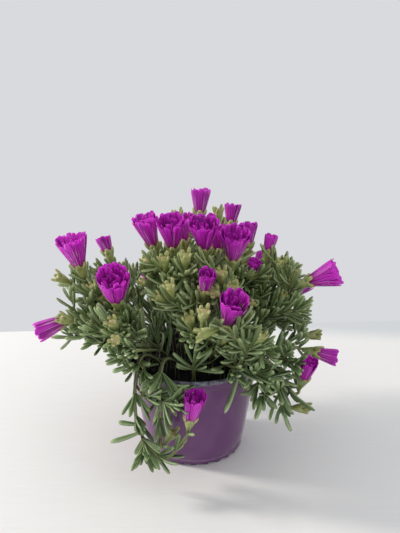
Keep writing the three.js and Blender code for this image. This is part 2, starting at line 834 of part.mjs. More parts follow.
// A shoot stands straight in its hole in the soil, then leans outward
function growShoot(shoot, heads, draw) {
  const owner = shoot.name;
  const [x, y] = shoot.root;
  const start = [
    new THREE.Vector3(x, y, SOIL_TOP - ROOT_DEPTH),
    new THREE.Vector3(x, y, SOIL_TOP + 2),
    new THREE.Vector3(x * 1.05, y * 1.05, SOIL_TOP + 15),
  ];
  const main = {
    path: growPath(start, shoot.via, heads[0], shoot.leafy, owner),
    head: heads[0],
    bareStart: ROOT_DEPTH + 14,
    bareEnd: heads[0] ? 7 : 1,
    tipLeaf: heads[0] ? LEAF_SHORTEST : 18,
    radii: [STEM_RADIUS, STEM_TIP_RADIUS],
  };
  const sides = shoot.sides.map((side, i) => {
    const head = heads[i + 1];
    const { at, way } = onPath(main.path, side.at);
    const toward = (head ? head.frame.mouth : vector(side.leafy)).clone().sub(at).normalize();
    const fork = [at, at.clone().addScaledVector(toward.add(way), 4)];
    const path = growPath(fork, side.via, head, side.leafy, owner);
    return {
      path,
      head,
      bareStart: Math.min(9, path.length * 0.3),
      bareEnd: head ? 6 : 1,
      tipLeaf: head ? LEAF_SHORTEST : 17,
      radii: [STEM_TIP_RADIUS + 0.1, STEM_TIP_RADIUS],
    };
  });
  return { name: owner, branches: [main, ...sides], draw };
}

function buildShoot(shoot) {
  const solids = [];
  for (const { path, head, radii, leaves } of shoot.branches) {
    solids.push(makeStem(path, ...radii));
    solids.push(...leaves.map((leaf) => makeBlade(leaf, LEAF_ROWS)));
    if (head?.petals) solids.push(...makeBloomCalyx(head.frame, head.flare));
    else if (head) solids.push(...makeBudCalyx(head.frame));
  }
  return joined(solids);
}

// The plant is planned as a whole, heads first, then stems, then leaves, and only then built
const headPlans = SHOOTS.map((shoot, i) =>
  [shoot, ...shoot.sides].map((stem, j) => planHead(stem, shoot.name, drawsFrom(1000 + 10 * i + j))),
);
const grown = SHOOTS.map((shoot, i) => growShoot(shoot, headPlans[i], drawsFrom(i + 1)));
for (const shoot of grown) {
  for (const branch of shoot.branches) branch.leaves = growLeaves(branch, shoot.name, shoot.draw);
}

const plant = new THREE.Group();
plant.add(meshOf("pot", makePot(), MATERIALS.pot));
plant.add(meshOf("soil", makeSoil(SHOOTS.map((shoot) => shoot.root)), MATERIALS.soil));
for (const shoot of grown) {
  plant.add(meshOf("shoot_" + shoot.name, buildShoot(shoot), MATERIALS.leaf));
  shoot.branches.forEach(({ head }, i) => {
    if (!head?.petals) return;
    const name = "bloom_" + shoot.name + (i ? "_side" : "");
    plant.add(meshOf(name, makeCorolla(head.frame, head.petals), MATERIALS.petal));
  });
}

export default plant;
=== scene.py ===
# %% [markdown]
# # A potted rosy dewplant
# This notebook dresses the plant's solid model. The solids fix where every stem, bloom and pot wall is. The
# cells below give each of them its fine shape and its surface: a moulded purple pot, damp peat, fleshy
# leaves and half-open magenta blooms. Distances are worked out in millimetres and turned to metres when a
# mesh is made.

import math

import bpy
import numpy as np
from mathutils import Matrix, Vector


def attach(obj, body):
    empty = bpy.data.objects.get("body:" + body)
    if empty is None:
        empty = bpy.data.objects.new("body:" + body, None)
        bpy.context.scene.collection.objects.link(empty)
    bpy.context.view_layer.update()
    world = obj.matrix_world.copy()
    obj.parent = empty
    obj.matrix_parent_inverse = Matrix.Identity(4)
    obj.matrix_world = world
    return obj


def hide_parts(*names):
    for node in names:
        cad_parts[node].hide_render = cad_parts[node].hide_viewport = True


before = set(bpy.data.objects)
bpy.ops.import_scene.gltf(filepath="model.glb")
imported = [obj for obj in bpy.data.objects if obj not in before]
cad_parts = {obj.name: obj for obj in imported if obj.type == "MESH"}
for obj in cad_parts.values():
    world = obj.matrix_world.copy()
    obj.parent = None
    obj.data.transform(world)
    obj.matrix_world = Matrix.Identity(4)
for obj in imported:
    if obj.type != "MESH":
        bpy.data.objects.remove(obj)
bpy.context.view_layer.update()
MM = 0.001

# %% [markdown]
# ## The camera
# The photograph looks slightly down on the plant from a little over half a metre away. The camera's place
# was found from the round rim of the pot, which shows as an ellipse: the flatter it is, the lower the camera.

# %% Camera
CAMERA_PLACE = (0.0052, -0.532, 0.325)
CAMERA_TILT = math.radians(73.5)
FOCAL_LENGTH = 43.9

lens = bpy.data.cameras.new("photo_lens")
lens.lens = FOCAL_LENGTH
lens.sensor_width = 36
lens.clip_start = 0.01
camera = bpy.data.objects.new("photo_camera", lens)
camera.location = CAMERA_PLACE
camera.rotation_euler = (CAMERA_TILT, 0, 0)
bpy.context.scene.collection.objects.link(camera)
bpy.context.scene.camera = camera
print("camera", CAMERA_PLACE)

# %% [markdown]
# ## Colours and nodes
# Colours are easiest to pick as they look on a screen, but light adds up in linear values. One function
# turns a hex colour to linear. Another adds a node to a material, with its settings and its links, so that
# each finish below reads as a short list.


# %% Helpers for materials
def linear(hex_colour):
    """A screen colour as linear light: below 0.04 divided by 12.92, above it raised to the power 2.4."""
    shares = [int(hex_colour[i : i + 2], 16) / 255 for i in (1, 3, 5)]
    return [s / 12.92 if s <= 0.04045 else ((s + 0.055) / 1.055) ** 2.4 for s in shares] + [1]


def new_material(name):
    """A material with nothing but its output and one main shader."""
    material = bpy.data.materials.new(name)
    material.use_nodes = True
    return material, material.node_tree.nodes["Principled BSDF"]


def add(material, kind, settings=None, **inputs):
    """Adds a node with its settings. Inputs go by socket name: an output of another node, or a value."""
    tree = material.node_tree
    node = tree.nodes.new("ShaderNode" + kind)
    for name, value in (settings or {}).items():
        setattr(node, name, value)
    connect(material, node, **inputs)
    return node


def connect(material, node, **inputs):
    """Sets or links sockets of a node. An underscore stands for a space, and n0 for the socket numbered 0."""
    for name, value in inputs.items():
        key = int(name[1:]) if name[0] == "n" and name[1:].isdigit() else name.replace("_", " ")
        socket = node.inputs[key]
        if isinstance(value, bpy.types.NodeSocket):
            material.node_tree.links.new(value, socket)
        else:
            socket.default_value = value


def grain(size):
    """The scale of a noise whose marks are so many millimetres across."""
    return 1 / (size * MM)


def ramp(material, factor, *stops):
    """A colour ramp from (place, hex colour) stops."""
    node = add(material, "ValToRGB", Fac=factor)
    bands = node.color_ramp.elements
    while len(bands) < len(stops):
        bands.new(0.5)
    for band, (place, colour) in zip(bands, stops):
        band.position = place
        band.color = linear(colour)
    return node.outputs["Color"]


print("mid grey as light:", round(linear("#808080")[0], 3))

# %% [markdown]
# ## The plan of the plant
# The plant is described by its heads, the blooms and buds that the photograph shows, and by the points that
# its stems pass. The table holds the same numbers as the solid model, so everything made here lands where the
# solids are. A head is [mouth of its calyx, tip], and a bloom's third value is the radius it opens to.

# %% The shoots
SHOOTS = [
    {
        "name": "far_left", "root": [-38, -12], "via": [[-66, -16, 112]],
        "bloom": [[-111, -20, 125], [-132, -26, 117], 8],
        "sides": [
            {"at": 0.72, "bud": [[-107, -34, 133], [-115, -40, 138]]},
            {"at": 0.45, "leafy": [-106, -6, 106]},
            {"at": 0.3, "leafy": [-80, -40, 116]},
        ],
    },
    {
        "name": "left_large", "root": [-30, 0],
        "bloom": [[-96, -10, 172], [-102, -14, 197], 12.5],
        "sides": [
            {"at": 0.7, "bud": [[-115, -4, 159], [-122, -7, 164]]},
            {"at": 0.5, "leafy": [-98, 12, 140]},
        ],
    },
    {
        "name": "left_back", "root": [-28, 18],
        "bloom": [[-81, 55, 166], [-86, 59, 179], 6.5],
        "sides": [{"at": 0.6, "bud": [[-99, 42, 142], [-107, 46, 148]]}],
    },
    {
        "name": "left_front", "root": [-22, -22],
        "bloom": [[-61, -50, 156], [-61, -63, 180], 12],
        "sides": [
            {"at": 0.7, "bud": [[-62, -66, 142], [-66, -74, 151]]},
            {"at": 0.45, "leafy": [-78, -48, 128]},
            {"at": 0.3, "leafy": [-46, -72, 122]},
        ],
    },
    {
        "name": "crown_left", "root": [-16, -5],
        "bloom": [[-34, -8, 189], [-41, -13, 214], 9.5],
        "sides": [{"at": 0.8, "bud": [[-38, -26, 180], [-41, -30, 189]]}],
    },
    {
        "name": "crown_second", "root": [-9, -17],
        "bloom": [[-17, -22, 192], [-18, -31, 216], 11],
        "sides": [{"at": 0.7, "bud": [[-23, -44, 186], [-24, -48, 196]]}],
    },
    {
        "name": "crown_back", "root": [-10, 14],
        "bloom": [[-7, 38, 188], [-8, 43, 206], 6.5],
        "sides": [{"at": 0.7, "bloom": [[-9, 8, 188], [-11, 10, 206], 6.5]}],
    },
    {
        "name": "crown_mid", "root": [3, -12],
        "bloom": [[9, -28, 192], [8, -38, 216], 11.5],
        "sides": [{"at": 0.7, "bud": [[-6, -48, 190], [-6, -52, 200]]}],
    },
    {
        "name": "crown_inner", "root": [10, 4],
        "bloom": [[21, -1, 184], [20, -4, 203], 7],
        "sides": [{"at": 0.6, "leafy": [36, -2, 160]}],
    },
    {
        "name": "crown_right", "root": [15, -14],
        "bloom": [[32, -25, 182], [34, -36, 207], 11.5],
        "sides": [{"at": 0.75, "bud": [[22, -48, 176], [22, -54, 186]]}],
    },
    {
        "name": "crown_outer", "root": [22, 8],
        "bloom": [[47, 18, 183], [49, 20, 202], 6],
        "sides": [{"at": 0.75, "bloom": [[50, 2, 163], [52, -1, 173], 5.5]}],
    },
    {
        "name": "top", "root": [4, 22],
        "bloom": [[5, 28, 209], [6, 30, 230], 8],
        "sides": [{"at": 0.85, "bud": [[-14, 22, 208], [-15, 22, 217]]}],
    },
    {
        "name": "top_right", "root": [16, 22],
        "bloom": [[33, 40, 197], [35, 44, 214], 7],
        "sides": [{"at": 0.85, "bud": [[21, 20, 211], [21, 20, 221]]}],
    },
    {
        "name": "right_small", "root": [29, -2],
        "bloom": [[64, 10, 179], [67, 11, 193], 5],
        "sides": [
            {"at": 0.75, "bud": [[75, 2, 170], [77, 2, 179]]},
            {"at": 0.5, "leafy": [80, 14, 146]},
        ],
    },
    {
        "name": "right_large", "root": [38, -8],
        "bloom": [[99, -5, 156], [122, -9, 166], 11],
        "sides": [
            {"at": 0.75, "bud": [[88, 10, 158], [91, 13, 167]]},
            {"at": 0.55, "leafy": [84, -22, 136]},
        ],
    },
    {
        "name": "right_back", "root": [36, 12],
        "bloom": [[92, 28, 134], [105, 36, 141], 6],
        "sides": [
            {"at": 0.7, "bloom": [[66, 42, 144], [68, 48, 157], 4.5]},
            {"at": 0.45, "leafy": [88, 10, 116]},
        ],
    },
    {
        "name": "middle", "root": [2, -25],
        "bloom": [[9, -58, 167], [11, -66, 183], 6],
        "sides": [
            {"at": 0.7, "bud": [[-18, -60, 169], [-20, -66, 179]]},
            {"at": 0.55, "bud": [[-3, -74, 148], [-5, -80, 157]]},
        ],
    },
    {
        "name": "front", "root": [14, -26],
        "bloom": [[26, -78, 147], [31, -91, 171], 10],
        "sides": [
            {"at": 0.6, "bud": [[8, -86, 158], [9, -92, 170]]},
            {"at": 0.75, "bud": [[30, -60, 168], [31, -65, 178]]},
            {"at": 0.4, "leafy": [48, -70, 126]},
        ],
    },
    {
        "name": "right_low", "root": [42, -16], "via": [[66, -22, 100]],
        "bloom": [[105, -22, 97], [122, -26, 94], 6.5],
        "sides": [
            {"at": 0.55, "bud": [[106, -8, 108], [118, -9, 110]]},
            {"at": 0.3, "leafy": [84, -46, 100]},
        ],
    },
    {
        "name": "right_front", "root": [34, -28], "via": [[60, -44, 100], [78, -44, 76]],
        "bloom": [[91, -42, 84], [95, -48, 103], 6.5],
        "sides": [
            {"at": 0.7, "bud": [[92, -46, 58], [100, -50, 60]]},
            {"at": 0.35, "leafy": [56, -58, 78]},
            {"at": 0.55, "leafy": [72, -54, 64]},
        ],
    },
    {
        "name": "trail_bloom", "root": [-28, -32],
        "via": [[-42, -50, 106], [-47, -64, 78], [-42, -72, 50], [-24, -80, 31]],
        "bloom": [[-2, -83, 70], [2, -90, 94], 8],
        "sides": [
            {"at": 0.3, "leafy": [-58, -58, 104]},
            {"at": 0.62, "leafy": [-39, -80, 38]},
        ],
    },
    {
        "name": "trail_leafy", "root": [-14, -34], "via": [[-24, -58, 106], [-27, -68, 78]],
        "bud": [[-17, -66, 46], [-12, -69, 54]],
        "sides": [{"at": 0.55, "leafy": [-12, -80, 82]}],
    },
    {
        "name": "arched", "root": [24, -36], "via": [[34, -64, 104], [39, -82, 126], [30, -90, 141]],
        "bud": [[6, -96, 145], [-4, -99, 143]],
        "sides": [{"at": 0.3, "leafy": [54, -66, 96]}],
    },
    {
        "name": "rosette", "root": [0, -42],
        "leafy": [0, -48, 100],
        "sides": [],
    },
    {
        "name": "back_left", "root": [-26, 34],
        "bloom": [[-44, 88, 122], [-48, 102, 138], 9],
        "sides": [
            {"at": 0.6, "leafy": [-70, 90, 124]},
            {"at": 0.45, "leafy": [-92, 62, 118]},
        ],
    },
    {
        "name": "back_middle", "root": [-8, 34],
        "bloom": [[-22, 82, 164], [-26, 93, 186], 11],
        "sides": [
            {"at": 0.6, "leafy": [-8, 100, 146]},
            {"at": 0.4, "leafy": [-30, 112, 112]},
        ],
    },
    {
        "name": "back_right", "root": [12, 38],
        "bloom": [[26, 90, 160], [30, 104, 180], 9],
        "sides": [
            {"at": 0.4, "leafy": [32, 116, 104]},
        ],
    },
    {
        "name": "far_right_back", "root": [30, 30],
        "bloom": [[62, 84, 132], [72, 99, 149], 10],
        "sides": [
            {"at": 0.65, "leafy": [88, 56, 140]},
            {"at": 0.45, "leafy": [84, 74, 110]},
        ],
    },
    {
        "name": "back_trailing", "root": [-24, 40], "via": [[-36, 60, 108], [-50, 78, 88]],
        "bloom": [[-62, 96, 66], [-70, 110, 78], 7],
        "sides": [
            {"at": 0.4, "leafy": [-20, 90, 78]},
            {"at": 0.6, "leafy": [-74, 74, 62]},
        ],
    },
]
print(len(SHOOTS), "shoots")

# %% Driving dimensions, in millimetres, the same as the solid model's
POT_HEIGHT = 88
RIM_RADIUS = 60
FOOT_RADIUS = 42.5
FOOT_HEIGHT = 2.6
COLLAR_HEIGHT = 9
SOIL_TOP = 79
SOIL_RELIEF = 0.8
ROOT_DEPTH = 9
STEM_RADIUS = 2.1
STEM_TIP_RADIUS = 1.6
STEM_STEP = 40
STEM_TURN = 32
LEAF_LONGEST = 25
LEAF_SHORTEST = 13
LEAF_HALF_WIDTH = 2.1
LEAF_SPACING = 36
CALYX_DEPTH = 12
CALYX_RADIUS = 4.5
BUD_SIZE = 0.95
CLEARANCE = 0.8
DEGREE = math.pi / 180
TURN = 2 * math.pi
print("pot", 2 * RIM_RADIUS, "mm across and", POT_HEIGHT, "mm high")

# %% [markdown]
# ## Repeatable chance
# A plant needs irregularity, but a model should come out the same on every run. A seeded stream of numbers
# gives both. This one is the multiply-and-take-the-remainder rule, which any language can repeat exactly.


# %% Small helpers
def draws_from(seed):
    """A stream of numbers from 0 to 1: each state is the last one times 48271, modulo 2147483647."""
    state = seed * 7919 + 104729

    def draw():
        nonlocal state
        state = state * 48271 % 2147483647
        return state / 2147483647

    draw()
    draw()
    return draw


def vector(*numbers):
    """An array of decimal numbers."""
    return np.array(numbers, float)


def unit(v):
    """A vector divided by its length."""
    return v / np.linalg.norm(v)


def unit_rows(v):
    """Each row divided by its length."""
    return v / np.linalg.norm(v, axis=-1, keepdims=True)


def mix(a, b, share):
    """a at share 0, b at share 1, and evenly between."""
    return a + (b - a) * share


def nearest(number):
    """The nearest whole number, with halves rounded up."""
    return math.floor(number + 0.5)


def within(place, low, high):
    """True inside the box between two corners."""
    return all(least < value < greatest for least, value, greatest in zip(low, place, high))


def square_to(way, hint):
    """A unit vector at right angles to way, as near to hint as it can be: hint less its part along way."""
    side = hint - np.dot(hint, way) * way
    if np.linalg.norm(side) < 0.05:
        side = vector(0, 1, 0) - way[1] * way
    return unit(side)


def turned_side(way, side, angle):
    """The side turned about the way: cos * side + sin * (way x side)."""
    return math.cos(angle) * side + math.sin(angle) * np.cross(way, side)


example = draws_from(1)
print("three draws", [round(example(), 3) for _ in range(3)])

# %% [markdown]
# ## Stems as curves
# A stem bends smoothly through a few points. A Catmull-Rom curve does this with no handles to place:
# between two points it is a cubic whose slope at each is half the step from the point before to the point
# after. Equal steps along its length are read from a table of lengths.


# %% Curves and paths
def curve_through(points, shares):
    """The Catmull-Rom curve at each share: b + m w + (3(c-b) - 2m - n) w^2 + (2(b-c) + m + n) w^3, where b
    and c are the points on either side, m and n half the steps across them, and w the share from b to c."""
    ends = np.vstack([2 * points[0] - points[1], points, 2 * points[-1] - points[-2]])
    place = (len(points) - 1) * shares
    i = np.minimum(np.floor(place).astype(int), len(points) - 2)
    w = (place - i)[:, None]
    a, b, c, d = ends[i], ends[i + 1], ends[i + 2], ends[i + 3]
    m, n = (c - a) / 2, (d - b) / 2
    return b + m * w + (3 * (c - b) - 2 * m - n) * w**2 + (2 * (b - c) + m + n) * w**3


def spaced(points, steps):
    """(points at equal distances along the curve, its length), read from a table of 200 chords."""
    table = np.linspace(0, 1, 201)
    chords = np.linalg.norm(np.diff(curve_through(points, table), axis=0), axis=1)
    lengths = np.concatenate([[0], np.cumsum(chords)])
    shares = np.interp(np.linspace(0, lengths[-1], steps + 1), lengths, table)
    return curve_through(points, shares), lengths[-1]


def turning_of(spots):
    """How many degrees a chain of points turns through in all."""
    ways = np.diff(spots, axis=0)
    ways /= np.linalg.norm(ways, axis=1)[:, None]
    return np.degrees(np.arccos(np.clip((ways[1:] * ways[:-1]).sum(axis=1), -1, 1))).sum()


def path_through(points, step=None):
    """A path: its spots, with a way and a side at each. The side turns with the path but doesn't twist."""
    points = np.array(points, float)
    trial, length = spaced(points, 16)
    steps = max(3, nearest(length / STEM_STEP + turning_of(trial) / STEM_TURN))
    if step:
        steps = max(4, nearest(length / step))
    spots, length = spaced(points, steps)
    ways = np.array([unit(spots[min(i + 1, steps)] - spots[max(i - 1, 0)]) for i in range(steps + 1)])
    sides = [square_to(ways[0], vector(1, 0, 0))]
    for i in range(1, steps + 1):
        sides.append(square_to(ways[i], sides[-1]))
    path = {"points": points, "spots": spots, "ways": ways, "sides": np.array(sides)}
    path.update(steps=steps, length=length)
    return path


def on_path(path, share):
    """(place, way, side) of a path at a share of its length, mixed between the two nearest spots."""
    i = min(math.floor(share * path["steps"]), path["steps"] - 1)
    rest = share * path["steps"] - i
    way = unit(mix(path["ways"][i], path["ways"][i + 1], rest))
    return mix(path["spots"][i], path["spots"][i + 1], rest), way, square_to(way, path["sides"][i])


example = path_through([(0, 0, 0), (30, 0, 60), (0, 0, 120)])
print("a bowed path:", example["steps"], "steps over", round(example["length"]), "mm")

# %% [markdown]
# ## Room for everything
# Leaves and stems push each other aside. A list of balls stands for all that has grown so far, and a new
# stem or leaf tries several directions until its own balls touch none of them. Comparing all distances at
# once as arrays keeps this quick.

# %% The filled space
HEAD_KIND, STEM_KIND, LEAF_ROOT_KIND, LEAF_KIND, COROLLA_KIND = range(5)
filled = {"balls": np.zeros((0, 4)), "owner": np.zeros(0, int), "kind": np.zeros(0, int)}


def fill(balls, owner, kind):
    """Adds balls, as rows of x, y, z and radius."""
    filled["balls"] = np.vstack([filled["balls"], balls])
    filled["owner"] = np.append(filled["owner"], np.full(len(balls), owner))
    filled["kind"] = np.append(filled["kind"], np.full(len(balls), kind))


def wall_radius(height):
    """The radius of the pot's outer wall: it widens evenly from the foot to the rim."""
    return mix(FOOT_RADIUS, RIM_RADIUS - 1.6, (height - FOOT_HEIGHT) / (POT_HEIGHT - FOOT_HEIGHT))


def clear_of_pot(balls, clearance):
    """Which balls stay clear of the pot, the soil and the surface that the pot stands on."""
    z = balls[:, 2]
    reach = balls[:, 3] + clearance
    out = np.hypot(balls[:, 0], balls[:, 1])
    wall = np.where(z > POT_HEIGHT - COLLAR_HEIGHT - 2, RIM_RADIUS, wall_radius(z))
    inside = (out < wall_radius(POT_HEIGHT) - 3 - reach) & (z > SOIL_TOP + 2 * SOIL_RELIEF + reach)
    return (z >= balls[:, 3] + 3) & ((z > POT_HEIGHT + reach) | (out > wall + reach) | inside)


def near_to(place, distance):
    """The filled balls within a distance of a place."""
    close = np.linalg.norm(filled["balls"][:, :3] - place, axis=1) < distance
    return {name: column[close] for name, column in filled.items()}


def count_blocked(balls, passes, among, clearance=CLEARANCE):
    """How many of the balls come too near to another, apart from those pairs that passes lets touch."""
    gaps = np.linalg.norm(balls[:, None, :3] - among["balls"][None, :, :3], axis=2)
    touching = gaps < balls[:, None, 3] + among["balls"][None, :, 3] + clearance
    hit = (touching & ~passes).any(axis=1)
    return int((hit | ~clear_of_pot(balls, clearance)).sum())


example = np.array([[0, 0, 60, 2], [0, 0, 100, 2]])
print("in the peat, and above it:", clear_of_pot(example, CLEARANCE))

# %% [markdown]
# ## Heads, stems and leaves in their places
# The heads come first, then the stems, then the leaves, in the same order and with the same draws as in the
# solid model. A blade, which is a leaf, a sepal or a petal, leaves its root along a way and is drawn aside
# by the square of the share gone, so it curves more towards its tip.


# %% Blades
def blade_point(blade, share):
    """root + way * length * share + lift * length * bend * share squared."""
    reach = blade["length"] * share
    return blade["root"] + blade["way"] * reach + blade["lift"] * reach * blade["bend"] * share


def blade_balls(blade, shares, radii):
    """Balls at shares of a blade's length."""
    return np.array([[*blade_point(blade, share), radius] for share, radius in zip(shares, radii)])


# %% Heads
SEPAL_LENGTHS = [7, 4.8, 6.2, 4.8, 5.2]


def head_frame(mouth, tip):
    """The frame of a head: its axis points out of the calyx's mouth."""
    mouth, tip = vector(*mouth), vector(*tip)
    axis = unit(tip - mouth)
    side = square_to(axis, vector(1, 0.3, 0))
    length = np.linalg.norm(tip - mouth)
    return {"mouth": mouth, "axis": axis, "side": side, "over": np.cross(axis, side), "length": length}


def head_point(head, angle, radius, height):
    """mouth + radius * (cos side + sin over) + height * axis."""
    out = math.cos(angle) * head["side"] + math.sin(angle) * head["over"]
    return head["mouth"] + out * radius + head["axis"] * height


def sepals(head, lean, root_radius, root_height, size):
    """Five blades round the mouth, each leaning out by the same angle, of which two are longer."""
    blades = []
    for i, length in enumerate(SEPAL_LENGTHS):
        angle = (i + 0.5) / len(SEPAL_LENGTHS) * TURN
        out = head_point(head, angle, 1, 0) - head["mouth"]
        way = math.sin(lean) * out + math.cos(lean) * head["axis"]
        blade = {"root": head_point(head, angle, root_radius, root_height), "way": way}
        blade.update(lift=square_to(way, -out), length=length * size, bend=0.1)
        blades.append(blade)
    return blades


def bloom_sepals(head, flare):
    """A bloom's sepals lean out further than its petals."""
    return sepals(head, math.atan((flare - 2.5) / head["length"]) + 26 * DEGREE, 2.2, -3.6, 1)


def star_sepals(head, size):
    """A bud's sepals stand round its top like a star."""
    return sepals(head, 42 * DEGREE, 1.6 * size / BUD_SIZE, -0.5, size)


def petal_balls(head, flare, draw):
    """Balls along the main petals of a corolla, and down its middle."""
    count = 8 if flare > 9 else 6 if flare > 6 else 5
    balls = []
    for i in range(count):
        angle = (i + 0.5) / count * TURN
        tip_angle = angle + (draw() - 0.5) * 0.25
        reach = flare * mix(0.86, 1.08, draw())
        root = head_point(head, angle, 1.3, 0.5)
        tip = head_point(head, tip_angle, reach, head["length"] * mix(0.92, 1.04, draw()))
        balls += [[*mix(root, tip, 0.1 + 0.15 * k), 1.2] for k in range(7)]
    for share in (0.5, 0.75, 1):
        balls.append([*head_point(head, 0, 0, head["length"] * share), max(1.5, flare * share * 0.8 - 1)])
    return np.array(balls)


def calyx_balls(head, size, blades):
    """Balls down the calyx and along its sepals."""
    rows = [[*head_point(head, 0, 0, h * size), (CALYX_RADIUS + h * 0.24) * size] for h in (0, -4, -8)]
    rows += [[*blade_point(blade, share), 1.2 * size] for blade in blades for share in (0.45, 0.75, 1)]
    return np.array(rows)


def plan_head(stem, owner, draw):
    """The head at the end of a stem, with its room taken up. A leafy stem has none."""
    if "bloom" in stem:
        mouth, tip, flare = stem["bloom"]
        head = head_frame(mouth, tip)
        head.update(flare=flare, depth=CALYX_DEPTH, size=1, sepals=bloom_sepals(head, flare))
        fill(petal_balls(head, flare, draw), owner, COROLLA_KIND)
        fill(calyx_balls(head, 1, head["sepals"]), owner, HEAD_KIND)
        return head
    if "bud" in stem:
        head = head_frame(*stem["bud"])
        head.update(flare=0, depth=CALYX_DEPTH * BUD_SIZE, size=BUD_SIZE)
        head.update(sepals=star_sepals(head, BUD_SIZE))
        fill(calyx_balls(head, BUD_SIZE, head["sepals"]), owner, HEAD_KIND)
        return head
    return None


# %% Stems
BOW_TRIES = 25
BOW_STEP = 6


def stem_balls(path):
    """Balls every 2.5 mm along a stem."""
    count = math.ceil(path["length"] / 2.5)
    return np.array([[*on_path(path, i / count)[0], STEM_RADIUS] for i in range(count + 1)])


def grow_path(start, via, head, leafy_end, owner):
    """A stem bows aside until it comes clear: by nothing at first, then six ways, further on each round."""
    end = head_point(head, 0, 0, 2 - head["depth"]) if head else vector(*leafy_end)
    neck = [head_point(head, 0, 0, -head["depth"] - 8)] if head else []
    first = start[-1]
    last = neck[0] if head else end
    chord = unit(last - first)
    aside = square_to(chord, vector(0, 0, 1))
    across = np.cross(chord, aside)
    middles = [vector(*point) for point in via] if via else [(first + last) / 2]
    passes = ((filled["owner"] == owner) & (filled["kind"] != COROLLA_KIND))[None, :]
    best = None
    for k in range(BOW_TRIES):
        reach = BOW_STEP * math.ceil(k / 6) * (0.5 if via else 1)
        bow = reach * (math.cos(k / 6 * TURN) * aside + math.sin(k / 6 * TURN) * across)
        path = path_through([*start, *(point + bow for point in middles), *neck, end])
        balls = stem_balls(path)
        checked = balls[np.linalg.norm(balls[:, :3] - start[0], axis=1) > ROOT_DEPTH + 6][:-3]
        blocked = count_blocked(checked, passes, filled)
        if best is None or blocked < best[0]:
            best = (blocked, path)
        if not blocked:
            break
    fill(stem_balls(best[1]), owner, STEM_KIND)
    return best[1]


def grow_shoot(shoot, heads, owner):
    """A shoot stands straight in its hole in the soil, then leans out. Its side stems leave it higher up."""
    x, y = shoot["root"]
    start = [vector(x, y, SOIL_TOP - ROOT_DEPTH), vector(x, y, SOIL_TOP + 2)]
    start.append(vector(x * 1.05, y * 1.05, SOIL_TOP + 15))
    path = grow_path(start, shoot.get("via"), heads[0], shoot.get("leafy"), owner)
    main = {"path": path, "head": heads[0], "bare_start": ROOT_DEPTH + 14}
    main["radii"] = (STEM_RADIUS, STEM_TIP_RADIUS)
    main.update(bare_end=7 if heads[0] else 1, tip_leaf=LEAF_SHORTEST if heads[0] else 18)
    branches = [main]
    for side, head in zip(shoot["sides"], heads[1:]):
        at, way, _ = on_path(path, side["at"])
        toward = unit((head["mouth"] if head else vector(*side["leafy"])) - at)
        side_path = grow_path([at, at + (toward + way) * 4], side.get("via"), head, side.get("leafy"), owner)
        branch = {"path": side_path, "head": head, "bare_start": min(9, side_path["length"] * 0.3)}
        branch["radii"] = (STEM_TIP_RADIUS + 0.1, STEM_TIP_RADIUS)
        branch.update(bare_end=6 if head else 1, tip_leaf=LEAF_SHORTEST if head else 17)
        branches.append(branch)
    return branches


head_plans = []
for i, shoot in enumerate(SHOOTS):
    stems = [shoot, *shoot["sides"]]
    head_plans.append([plan_head(stem, i, draws_from(1000 + 10 * i + j)) for j, stem in enumerate(stems)])
shoots = [grow_shoot(shoot, head_plans[i], i) for i, shoot in enumerate(SHOOTS)]
print(sum(len(branches) for branches in shoots), "stems")

# %% [markdown]
# ## Leaves
# The real plant's leaves stand in opposite pairs, each pair turned a quarter from the last. Scattering
# copies over the stems would be quick, but they would pass through each other. So each leaf is grown: it
# tries a direction, turns on where it meets another, and is left out where it finds no room. First come the
# leaves that the solids have too.

# %% Growing the leaves
LEAF_TRIES = 18
LEAF_SHARES = (0.18, 0.32, 0.46, 0.6, 0.74, 0.88, 0.97)
LEAF_OUTER = np.array(LEAF_SHARES) > 0.4


def place_leaf(about, splay, length, bend, spot, k):
    """A leaf's blade on its k-th try: turned further round to either side by turns, and a little shorter."""
    at, way, side = spot
    angle = about + math.ceil(k / 2) * (18 if k % 2 else -18) * DEGREE
    opened = (splay + (0, 14, -14)[k % 3]) * DEGREE
    leaf_way = math.cos(opened) * way + math.sin(opened) * turned_side(way, side, angle)
    size = length * (1 - 0.025 * k)
    blade = {"root": at, "way": leaf_way, "lift": square_to(leaf_way, way + vector(0, 0, 1))}
    blade.update(length=size, bend=bend, half_width=LEAF_HALF_WIDTH * mix(0.8, 1, size / LEAF_LONGEST))
    return blade


def clear_leaf(about, splay, length, bend, spot, own, among, tries, slimness, clearance):
    """(leaf, balls) of the first try that touches nothing but its own stem and its neighbours' roots."""
    to_any = own & ((among["kind"] == STEM_KIND) | (among["kind"] == LEAF_ROOT_KIND))
    to_inner = own & (among["kind"] == LEAF_KIND)
    passes = to_any[None, :] | (to_inner[None, :] & ~LEAF_OUTER[:, None])
    for k in range(tries):
        leaf = place_leaf(about, splay, length, bend, spot, k)
        radius = leaf["half_width"] * slimness
        radii = [radius * (0.6 if share > 0.9 else 1) for share in LEAF_SHARES]
        balls = blade_balls(leaf, LEAF_SHARES, radii)
        if not count_blocked(balls, passes, among, clearance):
            return leaf, balls
    return None, None


